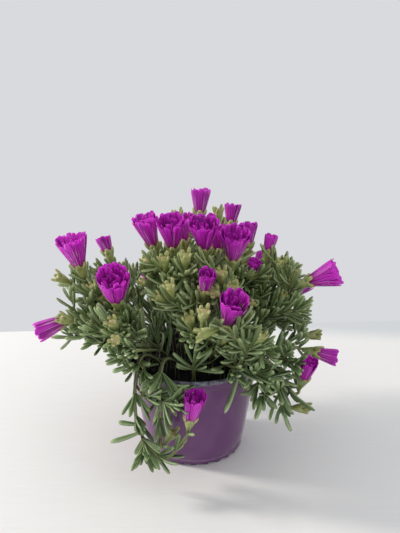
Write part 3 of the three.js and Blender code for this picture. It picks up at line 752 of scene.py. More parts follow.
def grow_leaves(branch, owner, draw):
    """The leaves that the solid model has too, in pairs along a stem."""
    path = branch["path"]
    usable = path["length"] - branch["bare_start"] - branch["bare_end"]
    pairs = max(1, nearest(usable / LEAF_SPACING))
    leaves = []
    for pair in range(pairs + 1):
        share = (branch["bare_start"] + usable * pair / pairs) / path["length"]
        for half in (0, math.pi):
            about = math.pi / 4 + pair * math.pi / 2 + half + (draw() - 0.5) * 0.4
            splay = mix(62, 40, share) + (draw() - 0.5) * 22
            length = mix(LEAF_LONGEST, branch["tip_leaf"], share * share) * mix(0.82, 1.12, draw())
            bend = mix(0.08, 0.3, draw())
            spot = on_path(path, share)
            among = near_to(spot[0], 48)
            own = among["owner"] == owner
            leaf, balls = clear_leaf(about, splay, length, bend, spot, own, among, LEAF_TRIES, 1, CLEARANCE)
            if leaf:
                fill(balls[LEAF_OUTER], owner, LEAF_KIND)
                fill(balls[~LEAF_OUTER], owner, LEAF_ROOT_KIND)
                leaves.append(leaf)
    return leaves


for i, branches in enumerate(shoots):
    draw = draws_from(i + 1)
    for branch in branches:
        branch["leaves"] = grow_leaves(branch, i, draw)
print(sum(len(branch["leaves"]) for branches in shoots for branch in branches), "leaves as in the solids")

# %% [markdown]
# ## Room for the heads
# The plant holds its blooms and buds out into the light. Balls just before and above each head keep the
# young leaves, which come next, from growing over it.

# %% Balls before the heads
NO_OWNER = -1


def keep_clear(head):
    """Balls from the calyx to the tip of a head, moved towards the front and up a little."""
    radius = max(4.5, 0.55 * head["flare"])
    heights = (-8, 0, 0.5 * head["length"], head["length"])
    points = [head_point(head, 0, 0, height) + vector(0, -9, 2) for height in heights]
    return np.array([[*point, radius] for point in points])


for branches in shoots:
    for branch in branches:
        if branch["head"]:
            fill(keep_clear(branch["head"]), NO_OWNER, HEAD_KIND)
print(len(filled["balls"]), "balls")

# %% [markdown]
# ## Single leaves
# Some leaves are plain to see because nothing stands behind them: those that hang below the foliage, and
# the star of leaves over the dark peat. They could be left to chance, but naming where each tip ends is
# surer.

# %% Leaves that the photograph shows plainly
SINGLE_LEAVES = [
    # shoot, a point near the stem that it grows from, its tip
    ("trail_bloom", (-44, -70, 56), (-60, -72, 60)),
    ("trail_bloom", (-42, -72, 51), (-67, -74, 43)),
    ("trail_bloom", (-40, -74, 46), (-47, -76, 33)),
    ("trail_bloom", (-40, -75, 44), (-41, -77, 29)),
    ("trail_bloom", (-39, -76, 43), (-33, -78, 28)),
    ("trail_bloom", (-35, -76, 39), (-26, -76, 24)),
    ("trail_bloom", (-52, -57, 102), (-65, -58, 97)),
    ("arched", (37, -57, 99), (25, -62, 62)),
    ("right_front", (56, -58, 78), (50, -60, 55)),
    ("right_front", (56, -58, 78), (57, -60, 63)),
    ("right_front", (72, -53, 67), (81, -53, 40)),
    ("far_left", (-94, -8, 107), (-112, -9, 105)),
    ("rosette", (0, -43, 94), (25, -50, 93)),
    ("rosette", (0, -43, 94), (-17, -46, 108)),
    ("rosette", (0, -43, 94), (3, -52, 119)),
    ("rosette", (0, -43, 94), (15, -50, 113)),
    ("rosette", (0, -43, 94), (-14, -52, 99)),
]


def nearest_spot(branches, place):
    """The branch, and the share of its path, that comes nearest to a place."""
    spots = [(branch, k / 60) for branch in branches for k in range(61)]
    return min(spots, key=lambda spot: np.linalg.norm(on_path(spot[0]["path"], spot[1])[0] - place))


def leaf_to(root, tip):
    """A leaf from root to tip that bends up a little on the way."""
    chord = tip - root
    span = np.linalg.norm(chord)
    lift = square_to(unit(chord), vector(0, 0, 1))
    straight = chord - lift * span * 0.12
    length = np.linalg.norm(straight)
    leaf = {"root": root, "way": straight / length, "lift": lift, "length": length, "bend": 0.12}
    leaf.update(half_width=2.3, tint=1)
    return leaf


names = [shoot["name"] for shoot in SHOOTS]
for name, place, tip in SINGLE_LEAVES:
    owner = names.index(name)
    branch, share = nearest_spot(shoots[owner], vector(*place))
    leaf = leaf_to(on_path(branch["path"], share)[0], vector(*tip))
    fill(blade_balls(leaf, LEAF_SHARES, [1.6] * len(LEAF_SHARES)), owner, LEAF_KIND)
    branch["leaves"].append(leaf)
print(len(SINGLE_LEAVES), "single leaves")

# %% [markdown]
# ## Young buds
# Smaller buds stand on short stalks round the top of each flowering stem. A stalk could be aimed by hand,
# but there are dozens, so each tries random directions and stays where it and its bud have room below the
# head.

# %% Buds on short stalks
BUDS_ABOVE = 128
BUDS_BELOW = 197
BUD_SHARES = (0.94, 0.84, 0.74, 0.62)
BUD_TRIES = 10


def end_of(branch):
    """The last point of a stem."""
    return branch["path"]["spots"][-1]


def bud_on(at, way, lean, reach, size):
    """A bud on a stalk that leaves the stem at a point and leans out."""
    mouth = at + lean * (reach + CALYX_DEPTH * size)
    head = head_frame(mouth, mouth + unit(lean + vector(0, 0, 0.3)) * 6)
    head.update(flare=0, depth=CALYX_DEPTH * size, size=size, sepals=star_sepals(head, size))
    foot = head_point(head, 0, 0, 2 - head["depth"])
    stalk = path_through([at, at + (lean + way) * 3, (at + lean * 6 + foot) / 2, foot])
    bud = {"path": stalk, "head": head, "bare_start": 3, "bare_end": 5, "tip_leaf": 9}
    bud.update(radii=(1.25, 1.1), leaves=[])
    return bud


def young_buds(branch, owner, draw):
    """Buds on short stalks round the top of a stem: each stalk leaves it at a share of its length, leans out
    by a random amount at a random angle, and is kept only where it and its bud have room."""
    grown = []
    for share in BUD_SHARES:
        at, way, side = on_path(branch["path"], share)
        for _ in range(BUD_TRIES):
            out = turned_side(way, side, draw() * TURN)
            lean = unit(out * mix(0.5, 0.9, draw()) + way + vector(0, 0, 0.7))
            bud = bud_on(at, way, lean, mix(11, 19, draw()), mix(0.65, 1.0, draw()))
            head = bud["head"]
            if head["mouth"][2] > end_of(branch)[2] - 2:
                continue
            among = near_to(head["mouth"], 60)
            joint = (among["kind"] == STEM_KIND) | (among["kind"] == LEAF_ROOT_KIND)
            own = ((among["owner"] == owner) & joint)[None, :]
            bud_balls = calyx_balls(head, head["size"], head["sepals"])
            along = np.array([[*on_path(bud["path"], k / 5)[0], 1.0] for k in range(2, 5)])
            if count_blocked(bud_balls, own, among, -1.6) > 1 or count_blocked(along, own, among, -0.8):
                continue
            fill(bud_balls, owner, HEAD_KIND)
            fill(along, owner, STEM_KIND)
            grown.append(bud)
            break
    return grown


bud_count = 0
for i, branches in enumerate(shoots):
    draw = draws_from(300 + i)
    for branch in list(branches):
        if branch["head"] and BUDS_ABOVE < end_of(branch)[2] < BUDS_BELOW:
            grown = young_buds(branch, i, draw)
            bud_count += len(grown)
            branches += grown
print(bud_count, "young buds")

# %% [markdown]
# ## Tufts of young leaves
# In the corner between a leaf and its stem sits a tuft of young leaves, longer outside and short and steep
# in the middle. Two rings of slim leaves at each pair, and halfway between, give that. They may press a
# little into each other, as crowded leaves do. Stems that hang or carry a high bloom are sparse, as in the
# photograph.

# %% Tufts along the stems
BARE_ABOVE = 172
SPARSE_ABOVE = 150
HANGS_BELOW = 110
HANGS_BELOW_FRONT_LEFT = 62
OPENING_RADIUS = 58
OPENING_TOP = 108
BEFORE_OPENING = ((-45, -60, 88), (45, -20, 122))


def tuft(branch, share, owner, draw, count, sizes, splays, slimness, clearance):
    """Leaves all round the stem at one place. Sizes and splays are the least and the greatest, slimness thins
    the balls that look for room, and a clearance below 0 lets them overlap by so much."""
    path = branch["path"]
    longest = mix(LEAF_LONGEST, branch["tip_leaf"], share * share)
    among = near_to(on_path(path, share)[0], 38)
    own = among["owner"] == owner
    start = draw()
    grown = []
    for i in range(count):
        about = (start + (i + 0.6 * draw()) / count) * TURN
        length = longest * mix(*sizes, draw())
        spot = on_path(path, min(1, max(0, share + (draw() - 0.5) * 4 / path["length"])))
        bend = mix(0.05, 0.35, draw())
        splay = mix(*splays, draw())
        leaf, balls = clear_leaf(about, splay, length, bend, spot, own, among, 5, slimness, clearance)
        if leaf:
            leaf["half_width"] *= mix(0.55, 0.95, min(1, length / longest))
            branch["leaves"].append(leaf)
            grown.append(balls)
    if grown:
        fill(np.vstack([balls[LEAF_OUTER] for balls in grown]), owner, LEAF_KIND)
        fill(np.vstack([balls[~LEAF_OUTER] for balls in grown]), owner, LEAF_ROOT_KIND)


def over_opening(place):
    """True over the front of the peat, where the photograph looks between the shoots into the dark pot."""
    x, y, z = place
    inside = math.hypot(x, y) < OPENING_RADIUS and z < OPENING_TOP
    return inside or within(place, *BEFORE_OPENING)


def corner_shares(branch):
    """Where the pairs of leaves stand on a stem, and halfway between."""
    length = branch["path"]["length"]
    usable = length - branch["bare_start"] - branch["bare_end"]
    if usable < 4:
        return []
    halves = 2 * max(1, nearest(usable / LEAF_SPACING))
    return [(branch["bare_start"] + usable * k / halves) / length for k in range(halves + 1)]


def tuft_size(branch, place):
    """How many leaves a tuft's ring has: 4, or 2 on what hangs or is high under a bloom, or 0 where bare."""
    x, y, z = place
    if over_opening(place) or (z > BARE_ABOVE and branch["head"]):
        return 0
    front_left = x < 0 and y < -40
    hangs = z < (HANGS_BELOW_FRONT_LEFT if front_left else HANGS_BELOW)
    return 2 if hangs or (z > SPARSE_ABOVE and branch["head"]) else 4


for i, branches in enumerate(shoots):
    draw = draws_from(400 + i)
    for branch in branches:
        shares = corner_shares(branch)
        for share in shares[:-1] if branch["head"] else shares:
            count = tuft_size(branch, on_path(branch["path"], share)[0])
            if count:
                tuft(branch, share, i, draw, count, (0.75, 1.2), (18, 46), 0.55, -0.6)
                tuft(branch, share, i, draw, count, (0.35, 0.7), (8, 36), 0.5, -1.0)
print(sum(len(branch["leaves"]) for branches in shoots for branch in branches), "leaves with the tufts")

# %% [markdown]
# ## Young shoots
# Where the bush still looks hollow, the plant would put out a short leafy shoot. Each tries random
# directions, and stays only where its tip comes out among other leaves, so that the outline of the bush
# keeps its shape.

# %% Short leafy shoots in the gaps
YOUNG_ON = 26
YOUNG_SPACING = 13
YOUNG_TRIES = 7
YOUNG_LOWEST = 74
YOUNG_HIGHEST = 185


def in_a_gap(end, among):
    """True where leaves within 17 mm of a place lie in at least six of the eight corners round it."""
    balls = among["balls"][:, :3]
    leafy = (among["kind"] == LEAF_KIND) & (np.linalg.norm(balls - end, axis=1) < 17)
    return len(set((balls[leafy] - end > 0) @ [1, 2, 4])) >= 6


def young_path(at, way, side, owner, draw):
    """One try: the path of a shoot that leaves the stem at a random angle, or None where it may not grow."""
    out = turned_side(way, side, draw() * TURN)
    lean = unit(out * mix(0.7, 1.1, draw()) + way * 0.8 + vector(0, 0, 0.35))
    reach = mix(9, 21, draw())
    end = at + lean * reach + vector(0, 0, 0.12 * reach)
    among = near_to(end, 40)
    own = (among["owner"] == owner) & (among["kind"] == STEM_KIND)
    room = np.array([[*end, 2.6], [*mix(at, end, 0.6), 1.6]])
    if not in_a_gap(end, among) or over_opening(end) or not YOUNG_LOWEST <= end[2] <= YOUNG_HIGHEST:
        return None
    if count_blocked(room, own[None, :], among, -0.7):
        return None
    return path_through([at, at + (lean + way) * reach * 0.22, end])


def young_shoots(branch, owner, draw):
    """Short leafy shoots, one for each 13 mm of a stem where a try finds a gap."""
    path = branch["path"]
    grown = []
    count = nearest((path["length"] - branch["bare_start"]) / YOUNG_SPACING)
    for k in range(count):
        share = mix(branch["bare_start"] / path["length"], 0.97, (k + draw()) / max(1, count))
        spot = on_path(path, share)
        for _ in range(YOUNG_TRIES):
            twig = young_path(*spot, owner, draw)
            if twig:
                fill(np.array([[*on_path(twig, j / 4)[0], 1.1] for j in range(1, 5)]), owner, STEM_KIND)
                grown.append({"path": twig, "head": None, "bare_start": 4, "bare_end": 0.5, "tip_leaf": 13})
                grown[-1].update(radii=(1.3, 1.0), leaves=[])
                break
    return grown


twig_count = 0
for i, branches in enumerate(shoots):
    draw = draws_from(900 + i)
    for branch in list(branches):
        long_enough = branch["path"]["length"] > YOUNG_ON
        grown = young_shoots(branch, i, draw) if long_enough else []
        for twig in grown:
            tuft(twig, 1, i, draw, 4, (0.8, 1.4), (8, 42), 0.5, -0.9)
            tuft(twig, 0.5, i, draw, 3, (0.6, 1.0), (26, 55), 0.5, -0.9)
        twig_count += len(grown)
        branches += grown
leaf_count = sum(len(branch["leaves"]) for branches in shoots for branch in branches)
print(twig_count, "young shoots,", leaf_count, "leaves in all")

# %% [markdown]
# ## Meshes from grids
# Nearly everything on a plant is a tube: a stem, a leaf, a sepal, a petal, a calyx. So one builder takes an
# array of tubes, each a row of rings, each a round of points, and joins them into one mesh. The first and
# last ring of a tube shrink to one point, so each tube is closed. Two facts about each point are kept with
# the mesh, so that the finishes can follow the surface: where it is on its tube, and the tube's own tint.


# %% The mesh builder
def tube_faces(rings, sides):
    """The faces of one closed tube, by the numbers of its points: quads that join side j to j+1 and ring i to
    i+1, and a fan at either end, where a ring is one point."""
    j = np.arange(sides)
    after = (j + 1) % sides
    ring = 1 + np.arange(rings - 3)[:, None] * sides
    corners = [ring + j, ring + after, ring + sides + after, ring + sides + j]
    quads = np.stack(corners, axis=-1).reshape(-1, 4)
    foot = np.stack([np.zeros_like(j), 1 + after, 1 + j], axis=-1)
    last_ring = 1 + (rings - 3) * sides
    tip = np.stack([np.full_like(j, last_ring + sides), last_ring + j, last_ring + after], axis=-1)
    return quads, foot, tip


def tube_mesh(tubes):
    """(points, faces, places, finishes) of closed tubes, from a list of (points, places, finish), whose
    points and places are (tube, ring, side, 3) arrays."""
    points, places, faces, finishes = [], [], [], []
    start = 0
    for spots, facts, finish in tubes:
        count, rings, sides, _ = spots.shape
        for values, kept in ((spots, points), (facts, places)):
            first = values[:, 0].mean(axis=1, keepdims=True)
            between = values[:, 1:-1].reshape(count, -1, 3)
            last = values[:, -1].mean(axis=1, keepdims=True)
            kept.append(np.concatenate([first, between, last], axis=1).reshape(-1, 3))
        each = (rings - 2) * sides + 2
        base = start + np.arange(count)[:, None, None] * each
        for shape in tube_faces(rings, sides):
            made = (base + shape).reshape(-1, shape.shape[-1])
            faces += made.tolist()
            finishes.append(np.full(len(made), finish))
        start += count * each
    return np.vstack(points), faces, np.vstack(places), np.concatenate(finishes)


def new_piece(name, points, faces, places, finishes, materials):
    """An object at the origin whose mesh is in metres, with its facts as a point attribute called place."""
    mesh = bpy.data.meshes.new(name)
    mesh.from_pydata(points * MM, [], faces)
    for material in materials:
        mesh.materials.append(material)
    mesh.polygons.foreach_set("material_index", finishes.astype(np.int32))
    mesh.polygons.foreach_set("use_smooth", np.ones(len(faces), bool))
    kept = mesh.attributes.new("place", "FLOAT_VECTOR", "POINT")
    kept.data.foreach_set("vector", places.astype(np.float32).ravel())
    mesh.update()
    piece = bpy.data.objects.new(name, mesh)
    bpy.context.scene.collection.objects.link(piece)
    return piece


def sharpen_sides(piece, places):
    """Marks the two long edges of each blade as sharp, so that a thin blade is shaded as a flat strap."""
    edges = np.zeros(2 * len(piece.data.edges), np.int32)
    piece.data.edges.foreach_get("vertices", edges)
    across = places[edges.reshape(-1, 2), 0]
    sharp = (np.abs(across).min(axis=1) > 0.99) & (across[:, 0] * across[:, 1] > 0)
    piece.data.edges.foreach_set("use_edge_sharp", sharp)


# %% Stems, leaves and sepals as tubes
def ring_of(sides):
    """The cosine and sine of evenly spaced angles."""
    angles = np.arange(sides) / sides * TURN
    return np.cos(angles), np.sin(angles)


def stem_tube(branch, tint):
    """A ring at each spot of the stem's fine path: spot + radius * (cos side + sin (way x side)). The radius
    goes evenly from the first to the last, with a slight knot every 10 mm."""
    path = path_through(branch["path"]["points"], 4)
    cos, sin = ring_of(8)
    share = np.linspace(0, 1, path["steps"] + 1)
    knots = 1 + 0.1 * np.cos(share * path["length"] / 10 * TURN)
    radius = mix(*branch["radii"], share) * 0.84 * knots
    radius[[0, -1]] = 0
    sides, over = path["sides"], np.cross(path["ways"], path["sides"])
    spread = cos[None, :, None] * sides[:, None] + sin[None, :, None] * over[:, None]
    points = path["spots"][:, None] + radius[:, None, None] * spread
    places = np.stack(np.broadcast_arrays(cos[None, :], share[:, None], tint), axis=-1)
    return points[None], places[None]


def blade_tubes(blades, rows, sides, tints):
    """Rings along blades, from (share, width, thickness) rows. The middle of each is root + way * s + lift *
    bend * s * share, and the ring is a lens of cos * half width by sin * half thickness, square to it."""
    share, width, thickness = np.array(rows, float).T
    root, way, lift, length, bend, half = (
        np.array([blade[name] for blade in blades])
        for name in ("root", "way", "lift", "length", "bend", "half_width")
    )
    flat = np.array([blade.get("flat", 1) for blade in blades])
    reach = length[:, None] * share
    middle = root[:, None] + way[:, None] * reach[..., None]
    middle = middle + lift[:, None] * (reach * bend[:, None] * share)[..., None]
    slope = way[:, None] + lift[:, None] * (2 * bend[:, None] * share)[..., None]
    slope = unit_rows(slope)
    across = np.cross(lift, way)[:, None]
    over = np.cross(slope, across)
    cos, sin = ring_of(sides)
    wide = (half[:, None] * width)[..., None, None] * cos[:, None] * across[:, :, None]
    thick = ((half * flat)[:, None] * thickness)[..., None, None] * sin[:, None] * over[:, :, None]
    points = middle[:, :, None] + wide + thick
    facts = np.broadcast_arrays(cos[None, None], share[None, :, None], np.array(tints)[:, None, None])
    return points, np.stack(facts, axis=-1)


example = stem_tube(shoots[0][0], 0.5)[0]
print("the first stem's rings and sides", example.shape[1:3])

# %% [markdown]
# ## The shapes of leaf and sepal
# A dewplant's leaf is a little finger: narrow where it leaves the stem, widest past the middle, blunt at
# the tip, round below and flatter above. A table of rings gives that outline. It has only a few dozen
# faces, because there are thousands of leaves, and smooth shading does the rest. The calyx is a ribbed cone
# turned about its axis.

# %% Rings of the blades
LEAF_RINGS = [
    (0, 0, 0), (0.03, 0.5, 0.5), (0.2, 0.66, 0.66), (0.45, 0.86, 0.82), (0.7, 0.95, 0.9),
    (0.88, 0.84, 0.8), (0.97, 0.48, 0.46), (1, 0, 0),
]
SEPAL_RINGS = [
    (0, 0, 0), (0.03, 0.9, 0.9), (0.3, 1.05, 1.0), (0.6, 1.05, 0.95), (0.85, 0.85, 0.8),
    (0.96, 0.5, 0.5), (1.02, 0, 0),
]
BLOOM_CALYX = [
    (0, -13.2), (1.6, -13), (2.1, -11.2), (3.2, -7.8), (4.4, -4), (4.9, -1.6), (4.7, 0.2), (4.2, 0.4),
    (3.4, -2.4), (0, -3.6),
]
BUD_CALYX = [
    (0, -14.2), (1.4, -14), (1.8, -11.6), (2.9, -8), (4.0, -4), (4.4, -1.2), (4.0, 0.6), (2.6, 1.8),
    (0, 2.4),
]


def calyx_tube(head, size, profile, tint):
    """A cone turned about the head's axis from (radius, height) rows, with five soft ribs under its sepals:
    mouth + r * (1 - 0.07 cos 5a) * (cos a side + sin a over) + h * axis."""
    radius, height = np.array(profile, float).T * size
    angles = np.arange(15) / 15 * TURN
    ribs = radius[:, None] * (1 - 0.07 * np.cos(5 * angles))
    out = np.cos(angles)[:, None] * head["side"] + np.sin(angles)[:, None] * head["over"]
    points = head["mouth"] + ribs[..., None] * out + height[:, None, None] * head["axis"]
    share = np.linspace(0, 1, len(radius))
    places = np.stack(np.broadcast_arrays(np.cos(angles)[None], share[:, None], tint), axis=-1)
    return points[None], places[None]


def fine_sepals(head):
    """The same sepals as thick fingers: a bloom's lie along its petals, a bud's stand up and curl in."""
    size = head["size"]
    if head["flare"]:
        lean = math.atan((head["flare"] - 2.5) / head["length"]) + 9 * DEGREE
        blades = sepals(head, lean, 3.5, -3.4, 1.25)
    else:
        blades = sepals(head, 30 * DEGREE, 2.7 * size, -1.2 * size, 1.1 * size)
    for blade in blades:
        blade.update(half_width=(1.9 if head["flare"] else 1.7) * size, flat=0.8)
        blade["bend"] = 0.05 if head["flare"] else 0.18
    return blades


# %% [markdown]
# ## Petals
# A dewplant bloom has dozens of strap-like petals in several layers. In the photograph they're half closed,
# so each bloom is a pleated funnel. One petal copied round the axis would look like a toy, so each is
# worked out by itself. The outer ones are wide and even and make the funnel's wall. The inner ones are
# narrower, reach less far and are rolled about their own length, which fills the funnel with curling edges.

# %% The plan of the petals
LAYERS = [
    # share of the petals, least and greatest reach of the tips as a share of the flare, their height as a
    # share of the length, how far from the middle they leave the cup, their width, and how far they may roll
    (0.4, 1.0, 1.13, 0.98, 3.7, 1.0, 0.1),
    (0.3, 0.72, 1.0, 0.96, 2.8, 0.85, 0.5),
    (0.3, 0.1, 0.7, 0.88, 1.5, 0.65, 1.2),
]
PETAL_RINGS = [
    (0, 0), (0.02, 0.6), (0.22, 0.74), (0.48, 0.9), (0.75, 1.06), (0.91, 1.0), (0.98, 0.7), (1, 0),
]
PETAL_FOOT = -2.4
PETAL_HALF_WIDTH = 2.35
PETAL_HALF_THICKNESS = 0.12
PETAL_CUP = 0.03
EVEN_FUNNEL = 0.95
CUPPED = {"left_front": 0.6, "trail_bloom": 0.6, "right_front": 0.75, "middle": 0.7, "far_left": 0.6}


def petal_plan(head, draw, tint):
    """Each petal's angle, drift, reach, rise, roll, cup radius and width, one array of each, and its tint."""
    count = 50 if head["flare"] > 9 else 38 if head["flare"] > 6 else 28
    petals, tints = [], []
    for share, least, greatest, up, cup, wide, tilt in LAYERS:
        layer = nearest(count * share)
        for i in range(layer):
            angle = (i + 0.5 * len(petals) + 0.45 * draw()) / layer * TURN
            drift = (draw() - 0.5) * 0.3
            reach = head["flare"] * mix(least, greatest, draw())
            rise = head["length"] * up * mix(0.9, 1.04, draw())
            roll = 0.07 + (draw() - 0.5) * tilt
            petals.append((angle, drift, reach, rise, roll, min(cup, 0.75 * reach), wide))
            tints.append(mix(tint, draw(), 0.6))
    return np.array(petals).T[:, :, None], np.array(tints)


# %% Petals as tubes
def petal_frames(head, plan, share, curve):
    """(middle, wide, thick) of each ring: where it is, and the ways of its width and its thickness. At share
    s the radius is mix(cup radius, tip radius, s ^ curve) and the height is mix(foot, tip height, s), at an
    angle that drifts from root to tip. The ring is rolled, so each petal lies a little over the next."""
    angle, drift, reach, rise, roll, inner, _ = plan
    radius = mix(inner, reach, share**curve)
    height = mix(PETAL_FOOT, rise, share)
    around = angle + drift * share
    out = np.cos(around)[..., None] * head["side"] + np.sin(around)[..., None] * head["over"]
    middle = head["mouth"] + radius[..., None] * out + height[..., None] * head["axis"]
    slope = unit_rows(np.gradient(middle, axis=1))
    across = np.cross(np.broadcast_to(head["axis"], out.shape), out)
    across = unit_rows(across - (across * slope).sum(axis=-1, keepdims=True) * slope)
    turned = (roll * (0.4 + 0.6 * share))[..., None]
    wide = np.cos(turned) * across + np.sin(turned) * np.cross(slope, across)
    return middle, wide, np.cross(slope, wide)


def petal_tubes(head, draw, tint, curve):
    """Petals round a head. A ring is a thin cupped lens of cos * half width by sin * half thickness."""
    plan, tints = petal_plan(head, draw, tint)
    share, width = np.array(PETAL_RINGS).T
    middle, wide, thick = petal_frames(head, plan, share, curve)
    cos, sin = ring_of(6)
    half = PETAL_HALF_WIDTH * (0.8 + 0.03 * head["flare"]) * width * plan[-1]
    lens = half[..., None, None] * cos[:, None] * wide[:, :, None]
    depth = (PETAL_HALF_THICKNESS * (width > 0))[:, None, None] * sin[:, None] * thick[:, :, None]
    cup = (PETAL_CUP * half[..., None] * (cos**2 - 0.5))[..., None] * thick[:, :, None]
    facts = np.broadcast_arrays(cos[None, None], share[None, :, None], tints[:, None, None])
    return middle[:, :, None] + lens + depth + cup, np.stack(facts, axis=-1)


print(sum(nearest(50 * row[0]) for row in LAYERS), "petals in a large bloom")

# %% [markdown]
# ## Finishes of the plant
# The leaf is a fleshy blade under a thin waxy skin with glassy water cells, which scatter a pale sheen: so a
# dull green with a soft gloss and some light passing through. Its edges are paler, a painted highlight, its
# tips are paler too, and growth near the top is yellower. The petals are thin and satiny: magenta with
# lengthwise stripes, a few pale streaks low down that are painted light shining through them, and a deep
# crimson where they enter the cup. The colours follow each blade by its place attribute, because a pattern
# fixed in space would cut across them.


# %% Helpers for the finishes
def facts_of(material):
    """The place attribute's parts: where across the blade, how far along it, and the blade's tint."""
    attribute = add(material, "Attribute", {"attribute_name": "place"})
    parts = add(material, "SeparateXYZ", Vector=attribute.outputs["Vector"])
    return parts.outputs["X"], parts.outputs["Y"], parts.outputs["Z"]


def blend(material, factor, first, second, mode="MIX"):
    """Two colours mixed by a factor."""
    node = add(material, "Mix", {"data_type": "RGBA", "blend_type": mode})
    connect(material, node, n0=factor, n6=first, n7=second)
    return node.outputs[2]


def bumped(material, shader, height, distance):
    """Raises the surface by height times a distance in metres."""
    bump = add(material, "Bump", Height=height, Distance=distance, Strength=1.0)
    connect(material, shader, Normal=bump.outputs["Normal"])


# %% Leaf, stem and calyx
YOUNG_FROM = 100 * MM
YOUNG_TO = 190 * MM


def leaf_finish(name, along_stops, tint_stops, edge, young):
    """Waxy skin over wet flesh: colours along the blade, times the blade's tint, times patches of 8 mm. Cells
    of 1 mm stand for the real ones of 0.3 mm, which are too fine to show."""
    material, shader = new_material(name)
    across, along, tint = facts_of(material)
    length_colour = ramp(material, along, *along_stops)
    tint_colour = ramp(material, tint, *tint_stops)
    colour = blend(material, 1.0, length_colour, tint_colour, "MULTIPLY")
    spots = add(material, "TexCoord").outputs["Object"]
    cells = add(material, "TexNoise", Vector=spots, Scale=grain(1.11), Detail=2.0)
    mottle = add(material, "TexNoise", Vector=spots, Scale=grain(8.33), Detail=3.0)
    patches = ramp(material, mottle.outputs["Fac"], (0.35, "#d4dacc"), (0.65, "#ffffff"))
    colour = blend(material, 1.0, colour, patches, "MULTIPLY")
    height = add(material, "SeparateXYZ", Vector=spots).outputs["Z"]
    high = add(material, "MapRange", Value=height, From_Min=YOUNG_FROM, From_Max=YOUNG_TO, To_Max=0.4)
    colour = blend(material, high.outputs[0], colour, linear(young))
    # The two long edges of each blade, and two sides of each stem and calyx, are mixed towards a pale colour:
    # a painted highlight.
    side = add(material, "Math", {"operation": "ABSOLUTE"}, n0=across)
    painted_edge_highlight = add(material, "MapRange", Value=side.outputs[0], From_Min=0.6, From_Max=1.0, To_Max=0.55)
    colour = blend(material, painted_edge_highlight.outputs[0], colour, linear(edge))
    connect(material, shader, Base_Color=colour, Roughness=0.48, IOR=1.4)
    connect(material, shader, Subsurface_Weight=0.2, Subsurface_Scale=1.0)
    connect(material, shader, Subsurface_Radius=(0.0015, 0.002, 0.0008))
    connect(material, shader, Coat_Weight=0.12, Coat_Roughness=0.35)
    bumped(material, shader, cells.outputs["Fac"], 0.2 * MM)
    return material


# Each finish's edge colour is a painted highlight along the sides of its blades.
LEAF = leaf_finish(
    "fleshy_leaf",
    [(0, "#8a9a60"), (0.3, "#6d8650"), (0.75, "#809a68"), (1, "#bccb9a")],
    [(0, "#7c8c78"), (0.5, "#ced6c6"), (1, "#ffffff")],
    edge="#c8d6a8",
    young="#929c5a",
)
# The stem is painted nearly black over the first third of its length: painted shade, where the stems stand in
# the dark inside the pot.
STEM = leaf_finish(
    "green_stem",
    [(0, "#14110c"), (0.3, "#3a3826"), (0.6, "#868c58"), (1, "#b4bc80")],
    [(0, "#c4c4b4"), (1, "#ffffff")],
    edge="#b0b884",
    young="#a8ae6c",
)
SEPAL = leaf_finish(
    "fleshy_calyx",
    [(0, "#939e5e"), (0.5, "#b2ba78"), (0.85, "#c2c486"), (1, "#cc9c84")],
    [(0, "#c8ccb0"), (1, "#ffffff")],
    edge="#d2d69c",
    young="#b6bc76",
)
print("leaf, stem and calyx:", [material.name for material in (LEAF, STEM, SEPAL)])


# %% Petal
def petal_finish():
    """A thin satin strap. Noise that reads only across the petal, and its tint, draws out into stripes.
    Across runs from -1 to 1 over 4 mm, so a scale of 5 gives stripes of 0.4 mm, and 2.3 streaks of 0.9 mm.
    The pale streaks low down are painted light shining through the petals."""
    material, shader = new_material("satin_petal")
    across, along, tint = facts_of(material)
    lengthwise = add(material, "CombineXYZ", X=across, Y=tint).outputs["Vector"]
    stripes = add(material, "TexNoise", Vector=lengthwise, Scale=5.0, Detail=2.0, Roughness=0.6)
    striped = ramp(material, stripes.outputs["Fac"], (0.34, "#a808a0"), (0.52, "#dc12d0"), (0.7, "#f070ea"))
    shades = ramp(material, tint, (0.2, "#c8bcc8"), (0.6, "#ffffff"))
    striped = blend(material, 1.0, striped, shades, "MULTIPLY")
    deep = ramp(material, along, (0.05, "#941c62"), (0.4, "#b416a2"))
    fade = add(material, "MapRange", Value=along, From_Min=0.1, From_Max=0.45)
    colour = blend(material, fade.outputs[0], deep, striped)
    # Pale streaks low down on some petals: painted light shining through the petals from behind.
    backlit_streak_noise = add(material, "TexNoise", Vector=lengthwise, Scale=2.3, Detail=1.0)
    backlit_streak_strength = add(material, "MapRange", Value=backlit_streak_noise.outputs["Fac"], From_Min=0.56, From_Max=0.63, To_Max=0.8)
    low = add(material, "MapRange", Value=along, From_Min=0.8, From_Max=0.5)
    pale = add(material, "Math", {"operation": "MULTIPLY"}, n0=backlit_streak_strength.outputs[0], n1=low.outputs[0])
    colour = blend(material, pale.outputs[0], colour, linear("#f4b0ee"))
    connect(material, shader, Base_Color=colour, Roughness=0.45, IOR=1.36)
    connect(material, shader, Subsurface_Weight=0.4, Subsurface_Scale=1.0)
    connect(material, shader, Subsurface_Radius=(0.003, 0.0012, 0.003))
    bumped(material, shader, stripes.outputs["Fac"], 0.2 * MM)
    return material


PETAL = petal_finish()
print("petal:", PETAL.name)

# %% [markdown]
# ## The plant's pieces
# Each shoot of the solids gets one mesh with its stems, leaves, calyxes and buds, and each bloom one of its
# own. A few leaves that would spoil the bush's outline, or cover the dark gap over the pot, are left out
# first.


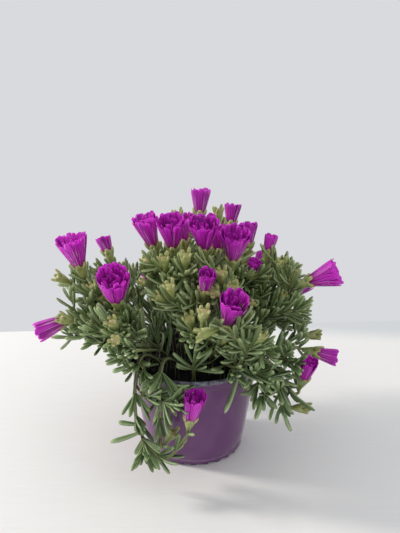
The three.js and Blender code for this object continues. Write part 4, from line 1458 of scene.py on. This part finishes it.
# %% The shoots' tubes
FAR = 1000
STRAYS = {
    "trail_bloom": ((-FAR, -FAR, 82), (-57, FAR, 114)),
    "right_front": ((98, -FAR, -FAR), (FAR, FAR, 84)),
}
DARK_GAP = ((-38, -65, 90), (-3, -15, 119))
LEAF_FLATNESS = 0.86
SINGLE_LEAF_WIDENED = 1.1
OTHER_LEAF_WIDENED = 0.98


def not_in_photograph(name, leaf):
    """True for a leaf whose tip would reach out of the bush, or before the dark gap over the pot, where the
    photograph shows none. The single leaves, which have a tint of their own, stay."""
    tip = leaf["root"] + leaf["way"] * leaf["length"]
    stray = name in STRAYS and within(tip, *STRAYS[name])
    covers = name != "rosette" and within(tip, *DARK_GAP)
    return (stray or covers) and "tint" not in leaf


def head_tubes(head, tint):
    """The calyx and the sepals of a bloom or a bud, in the third finish."""
    calyx = calyx_tube(head, head["size"], BLOOM_CALYX if head["flare"] else BUD_CALYX, tint)
    blades = blade_tubes(fine_sepals(head), SEPAL_RINGS, 8, [tint] * len(SEPAL_LENGTHS))
    return [(*calyx, 2), (*blades, 2)]


def shoot_tubes(name, branches, draw):
    """A shoot's leaves in the first finish, its stems in the second and its heads in the third."""
    stems, blades, heads = [], [], []
    for branch in branches:
        stems.append((*stem_tube(branch, draw()), 1))
        blades += [leaf for leaf in branch["leaves"] if not not_in_photograph(name, leaf)]
        if branch["head"]:
            heads += head_tubes(branch["head"], draw())
    for blade in blades:
        blade["flat"] = LEAF_FLATNESS
        blade["half_width"] *= SINGLE_LEAF_WIDENED if "tint" in blade else OTHER_LEAF_WIDENED
    tints = [blade.get("tint", draw()) for blade in blades]
    return [*stems, (*blade_tubes(blades, LEAF_RINGS, 6, tints), 0), *heads]


# %% Pieces for the shoots and blooms
SHOOT_SEED = 700
BLOOM_SEED = 2000

for i, (shoot, branches) in enumerate(zip(SHOOTS, shoots)):
    name = shoot["name"]
    draw = draws_from(SHOOT_SEED + i)
    shape = tube_mesh(shoot_tubes(name, branches, draw))
    piece = new_piece("fine_shoot_" + name, *shape, [LEAF, STEM, SEPAL])
    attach(piece, "root")
    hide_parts("shoot_" + name)
    for number, branch in enumerate(branches):
        head = branch["head"]
        if not head or not head["flare"]:
            continue
        ending = name + ("_side" if number else "")
        petal_draw = draws_from(BLOOM_SEED + 10 * i + number)
        petals = petal_tubes(head, petal_draw, draw(), CUPPED.get(name, EVEN_FUNNEL))
        shape = tube_mesh([(*petals, 0)])
        bloom = new_piece("fine_bloom_" + ending, *shape, [PETAL])
        sharpen_sides(bloom, shape[2])
        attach(bloom, "root")
        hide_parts("bloom_" + ending)

# %% [markdown]
# ## The pot
# Nursery pots are injection-moulded polypropylene about a millimetre thick, glossy outside, with a rolled
# bead at the rim, a faint collar under it, and small feet that let water out. The wall is a profile turned
# about the upright axis, which a modifier could do too, but an array lets the foot ring be lifted by a wave
# round the axis.

# %% The pot's mesh
FEET = 24
FOOT_LIFT = 1.8
POT_SIDES = 192
UNDERSIDE = [(0, 1.9), (12, 1.9), (13.4, 1.9), (14, 0.2), (15, 0.2), (15.6, 2.0), (25, 2.0), (38.2, 2.0)]
FOOT_RING = [(38.6, 1.6), (39.4, 0), (41.2, 0), (41.7, 0.5), (42.0, 2.4)]
STEP_OUT = [(42.2, 2.9), (42.9, 3.3), (43.3, 3.6)]
MOULDING_LINE = [(43.35, 4.6), (43.05, 5.0), (43.1, 5.4), (43.5, 5.8)]
OUTSIDE = [(46.1, 20), (49.4, 40), (52.8, 60), (55.6, 77), (55.9, 78.6)]
COLLAR = [(56.6, 79.2), (56.9, 80), (57.6, 83.8), (58.0, 84.4), (59.2, 84.7)]
BEAD = [(59.8, 85.1), (60, 85.8), (60, 87), (59.7, 87.7), (59, 88), (58, 88), (57.3, 87.7), (56.9, 86.8)]
INSIDE = [(56.2, 84), (55.4, 80), (52.2, 64), (46, 30), (42.0, 6.4)]
FLOOR = [(40.6, 4.7), (39, 4.2), (20, 4.2), (0, 4.2)]
POT_PROFILE = UNDERSIDE + FOOT_RING + STEP_OUT + MOULDING_LINE + OUTSIDE + COLLAR + BEAD + INSIDE + FLOOR


def turned_points(profile, sides):
    """A profile of (radius, height) turned about the upright axis: (r cos a, r sin a, h)."""
    radius, height = np.array(profile, float).T
    angles = np.arange(sides) / sides * TURN
    flat = [radius[:, None] * np.cos(angles), radius[:, None] * np.sin(angles)]
    return np.stack([*flat, np.broadcast_to(height[:, None], flat[0].shape)], axis=-1), angles


pot_points, around = turned_points(POT_PROFILE, POT_SIDES)
lifted = 1 - np.clip(0.9 - 2.2 * np.cos(FEET * around), 0, 1)
foot = (pot_points[..., 2] < 1.7) & (np.hypot(pot_points[..., 0], pot_points[..., 1]) > 30)
pot_points[..., 2] = np.where(foot, mix(FOOT_LIFT, pot_points[..., 2], lifted), pot_points[..., 2])
share = np.linspace(0, 1, len(POT_PROFILE))[:, None]
pot_places = np.stack(np.broadcast_arrays(np.cos(around)[None], share, 0.5), axis=-1)
print("pot profile", len(POT_PROFILE), "points")

# %% [markdown]
# ## The pot's plastic
# Polypropylene coloured through with violet pigment. Moulding leaves it smooth and glossy, with a faint
# orange peel. The top of the rim is painted grey-blue with dark speckles: the grey-blue is a painted
# reflection of the light, and the dark speckles are peat dust. A thin line near the foot is painted pale.
# Gloss could be painted by hand, but one noise can speckle the rim's colour and dull it at the same spots.

# %% Moulded violet polypropylene
RIM_DUST_AND_REFLECTION_STARTS = 82.8 * MM
RIM_DUST_AND_REFLECTION_FULL = 84.6 * MM
PALE_LINE_HEIGHT = 5.6 * MM
PALE_LINE_HALF_WIDTH = 0.4 * MM


def pot_finish():
    """Cloudy violet plastic, under the rim's dust and painted reflection, and a pale line near the foot."""
    material, shader = new_material("moulded_violet_polypropylene")
    spots = add(material, "TexCoord").outputs["Object"]
    height = add(material, "SeparateXYZ", Vector=spots).outputs["Z"]
    cloud = add(material, "TexNoise", Vector=spots, Scale=grain(22.2), Detail=4.0, Roughness=0.6)
    plastic = ramp(material, cloud.outputs["Fac"], (0.3, "#663c6c"), (0.7, "#704474"))
    # The top of the rim is mixed to grey-blue with dark speckles: the grey-blue is a painted reflection of
    # the light on the bead, and the dark speckles are peat dust.
    on_rim = add(material, "MapRange", Value=height, From_Min=RIM_DUST_AND_REFLECTION_STARTS, From_Max=RIM_DUST_AND_REFLECTION_FULL)
    rim_speckle_noise = add(material, "TexNoise", Vector=spots, Scale=grain(3.85), Detail=5.0, Roughness=0.7)
    rim_speckle_share = add(material, "MapRange", Value=rim_speckle_noise.outputs["Fac"], From_Min=0.25, From_Max=0.5)
    rim_dust_and_reflection = add(material, "Math", {"operation": "MULTIPLY"}, n0=on_rim.outputs[0], n1=rim_speckle_share.outputs[0])
    rim_dust_and_reflection_colour = ramp(material, rim_speckle_noise.outputs["Fac"], (0.42, "#33333b"), (0.52, "#727682"), (0.7, "#a2a9b2"))
    colour = blend(material, rim_dust_and_reflection.outputs[0], plastic, rim_dust_and_reflection_colour)
    # A thin band near the foot, at the moulding line, is mixed towards a pale colour.
    line = add(material, "Math", {"operation": "COMPARE"}, n0=height, n1=PALE_LINE_HEIGHT, n2=PALE_LINE_HALF_WIDTH)
    pale_line_share = add(material, "Math", {"operation": "MULTIPLY"}, n0=line.outputs[0], n1=0.6)
    colour = blend(material, pale_line_share.outputs[0], colour, linear("#b7a6bc"))
    rough = add(material, "MapRange", Value=rim_dust_and_reflection.outputs[0], To_Min=0.14, To_Max=0.55)
    connect(material, shader, Base_Color=colour, Roughness=rough.outputs[0], IOR=1.49)
    peel = add(material, "TexNoise", Vector=spots, Scale=grain(2.63), Detail=1.0)
    bumped(material, shader, peel.outputs["Fac"], 0.02 * MM)
    return material


POT = pot_finish()
pot_shape = tube_mesh([(pot_points[None], pot_places[None], 0)])
pot = new_piece("fine_pot", *pot_shape, [POT])
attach(pot, "root")
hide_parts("pot")
print("pot", len(pot.data.polygons), "faces")

# %% [markdown]
# ## The peat
# Potting peat is dark, nearly black when damp, and breaks into crumbs with a few pale fibres and grains.
# The top is a round grid raised by the same slow waves as the solid, with finer crumbs on top. Bump alone
# would look flat where the light grazes it, so loose crumbs are scattered on it as small closed blades.

# %% The peat's mesh
PEAT_SIDES = 150
PEAT_RINGS = 46
CRUMB_COUNT = 900
CRUMB_REACH = 53
CRUMB_RINGS = [(0, 0, 0), (0.15, 0.8, 0.8), (0.6, 1, 0.9), (1, 0, 0)]


def soil_height(x, y):
    """The peat's rough top: 79 mm and a few crossing waves."""
    waves = np.sin(0.31 * x + 1.2) * np.cos(0.27 * y) + 0.6 * np.sin(0.53 * y - 0.4 * x)
    return SOIL_TOP + SOIL_RELIEF * waves


def crumb_on(draw):
    """A crumb somewhere on the peat, as a short blade that lies nearly level."""
    angle, out = draw() * TURN, CRUMB_REACH * math.sqrt(draw())
    x, y = out * math.cos(angle), out * math.sin(angle)
    way = unit(vector(draw() - 0.5, draw() - 0.5, 0.3 * (draw() - 0.5)))
    size = mix(0.8, 2.6, draw() ** 2)
    root = vector(x, y, float(soil_height(np.float64(x), np.float64(y))) + 0.3 * size)
    crumb = {"root": root, "way": way, "lift": square_to(way, vector(0, 0, 1)), "bend": 0}
    crumb.update(length=1.6 * size, half_width=0.55 * size)
    return crumb


soil_draw = draws_from(77)
edge = wall_radius(SOIL_TOP) - 2.2
soil_rows = [(0, 4.7), (38, 4.7), (41.4, 6.9)] + [(wall_radius(h) - 1.9, h) for h in (20, 40, 60, 74, 78)]
soil_rows += [(edge - inward, SOIL_TOP) for inward in np.linspace(0, edge, PEAT_RINGS)]
soil_points, around = turned_points(soil_rows, PEAT_SIDES)
x, y, z = soil_points[..., 0], soil_points[..., 1], soil_points[..., 2]
rough = np.array([soil_draw() for _ in range(z.size)]).reshape(z.shape)
raised = soil_height(x, y) + 0.9 * (rough - 0.4) + 0.5 * np.sin(x * 1.9) * np.sin(y * 2.1 + 1)
soil_points[..., 2] = np.where(z > SOIL_TOP - 0.5, raised, z)
crumbs = [crumb_on(soil_draw) for _ in range(CRUMB_COUNT)]
crumb_tubes = blade_tubes(crumbs, CRUMB_RINGS, 5, [soil_draw() for _ in crumbs])
print(len(crumbs), "crumbs")


# %% Damp peat
def peat_finish():
    """Dull and nearly black, with grains of 1.4 mm and a few pale crumbs by their tint."""
    material, shader = new_material("damp_peat")
    spots = add(material, "TexCoord").outputs["Object"]
    tint = facts_of(material)[2]
    fine = add(material, "TexNoise", Vector=spots, Scale=grain(1.43), Detail=6.0, Roughness=0.7)
    base = ramp(material, fine.outputs["Fac"], (0.35, "#060505"), (0.6, "#14110f"), (0.75, "#332b24"))
    grains = ramp(material, tint, (0.0, "#ffffff"), (0.9, "#ffffff"), (0.97, "#ffe9c8"))
    colour = blend(material, 1.0, base, grains, "MULTIPLY")
    connect(material, shader, Base_Color=colour, Roughness=0.85, IOR=1.4)
    bumped(material, shader, fine.outputs["Fac"], 0.6 * MM)
    return material


PEAT = peat_finish()
soil_shape = tube_mesh([(soil_points[None], np.zeros_like(soil_points)[None], 0), (*crumb_tubes, 0)])
soil = new_piece("fine_soil", *soil_shape, [PEAT])
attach(soil, "root")
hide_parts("soil")
print("peat", len(soil.data.polygons), "faces")

# %% [markdown]
# ## The studio
# The plant stands on a white painted table in front of a pale wall. The wall is simply the pale
# surroundings, which also give most of the soft light. The window is a lamp on the left, a little behind
# the plant and about 28 degrees high: it lays the shadow of the pot towards the front right. A weak large
# lamp stands for the room behind the camera. The table's far edge runs a little askew and fades to the grey
# of the wall on the right.

# %% The table
TABLE_CORNERS = [(-1.6, -1.6, 0), (1.6, -1.6, 0), (1.6, 0.405, 0), (-1.6, 0.159, 0)]
FADE_TURN = 0.14
FADE_STARTS = 0.25
FADE_FULL = 0.31


def table_finish():
    """White paint with brush marks 40 mm long and 3 mm wide."""
    material, shader = new_material("white_painted_table")
    spots = add(material, "TexCoord").outputs["Object"]
    stretched = add(material, "Mapping", Vector=spots, Scale=(6.0, 90.0, 1.0))
    streaks = add(material, "TexNoise", Vector=stretched.outputs["Vector"], Scale=4.0, Detail=3.0)
    colour = ramp(material, streaks.outputs["Fac"], (0.3, "#efeeec"), (0.7, "#f2f1ef"))
    tilted = add(material, "Mapping", Vector=spots, Rotation=(0.0, 0.0, FADE_TURN))
    depth = add(material, "SeparateXYZ", Vector=tilted.outputs["Vector"]).outputs["Y"]
    far = add(material, "MapRange", {"interpolation_type": "SMOOTHSTEP"}, Value=depth)
    connect(material, far, From_Min=FADE_STARTS, From_Max=FADE_FULL)
    colour = blend(material, far.outputs[0], colour, linear("#d5d8da"))
    connect(material, shader, Base_Color=colour, Roughness=0.7)
    return material


table_mesh = bpy.data.meshes.new("table")
table_mesh.from_pydata(TABLE_CORNERS, [], [(0, 1, 2, 3)])
table_mesh.materials.append(table_finish())
table = bpy.data.objects.new("table", table_mesh)
bpy.context.scene.collection.objects.link(table)
print("table", tuple(round(size, 2) for size in table.dimensions))


# %% The window and the room
def window(name, place, size, power, colour):
    """A square area lamp at a place, turned to the middle of the pot, with its power in watts."""
    lamp = bpy.data.lights.new(name, "AREA")
    lamp.size = size
    lamp.energy = power
    lamp.color = linear(colour)[:3]
    holder = bpy.data.objects.new(name, lamp)
    holder.location = place
    away = Vector(place) - Vector((0, 0, 0.05))
    holder.rotation_euler = away.to_track_quat("Z", "Y").to_euler()
    bpy.context.scene.collection.objects.link(holder)


window("window", (-2.2, 0.46, 1.27), 0.42, 43, "#fffaf2")
window("room_behind_the_camera", (1.2, -1.1, 1.4), 1.2, 3, "#f4f7fb")
room = bpy.data.worlds.new("pale_room")
room.use_nodes = True
room.node_tree.nodes["Background"].inputs["Color"].default_value = linear("#d8dadd")
room.node_tree.nodes["Background"].inputs["Strength"].default_value = 1.0
bpy.context.scene.world = room
bpy.context.scene.view_settings.view_transform = "Standard"
print("lamps", [lamp.name for lamp in bpy.data.lights])
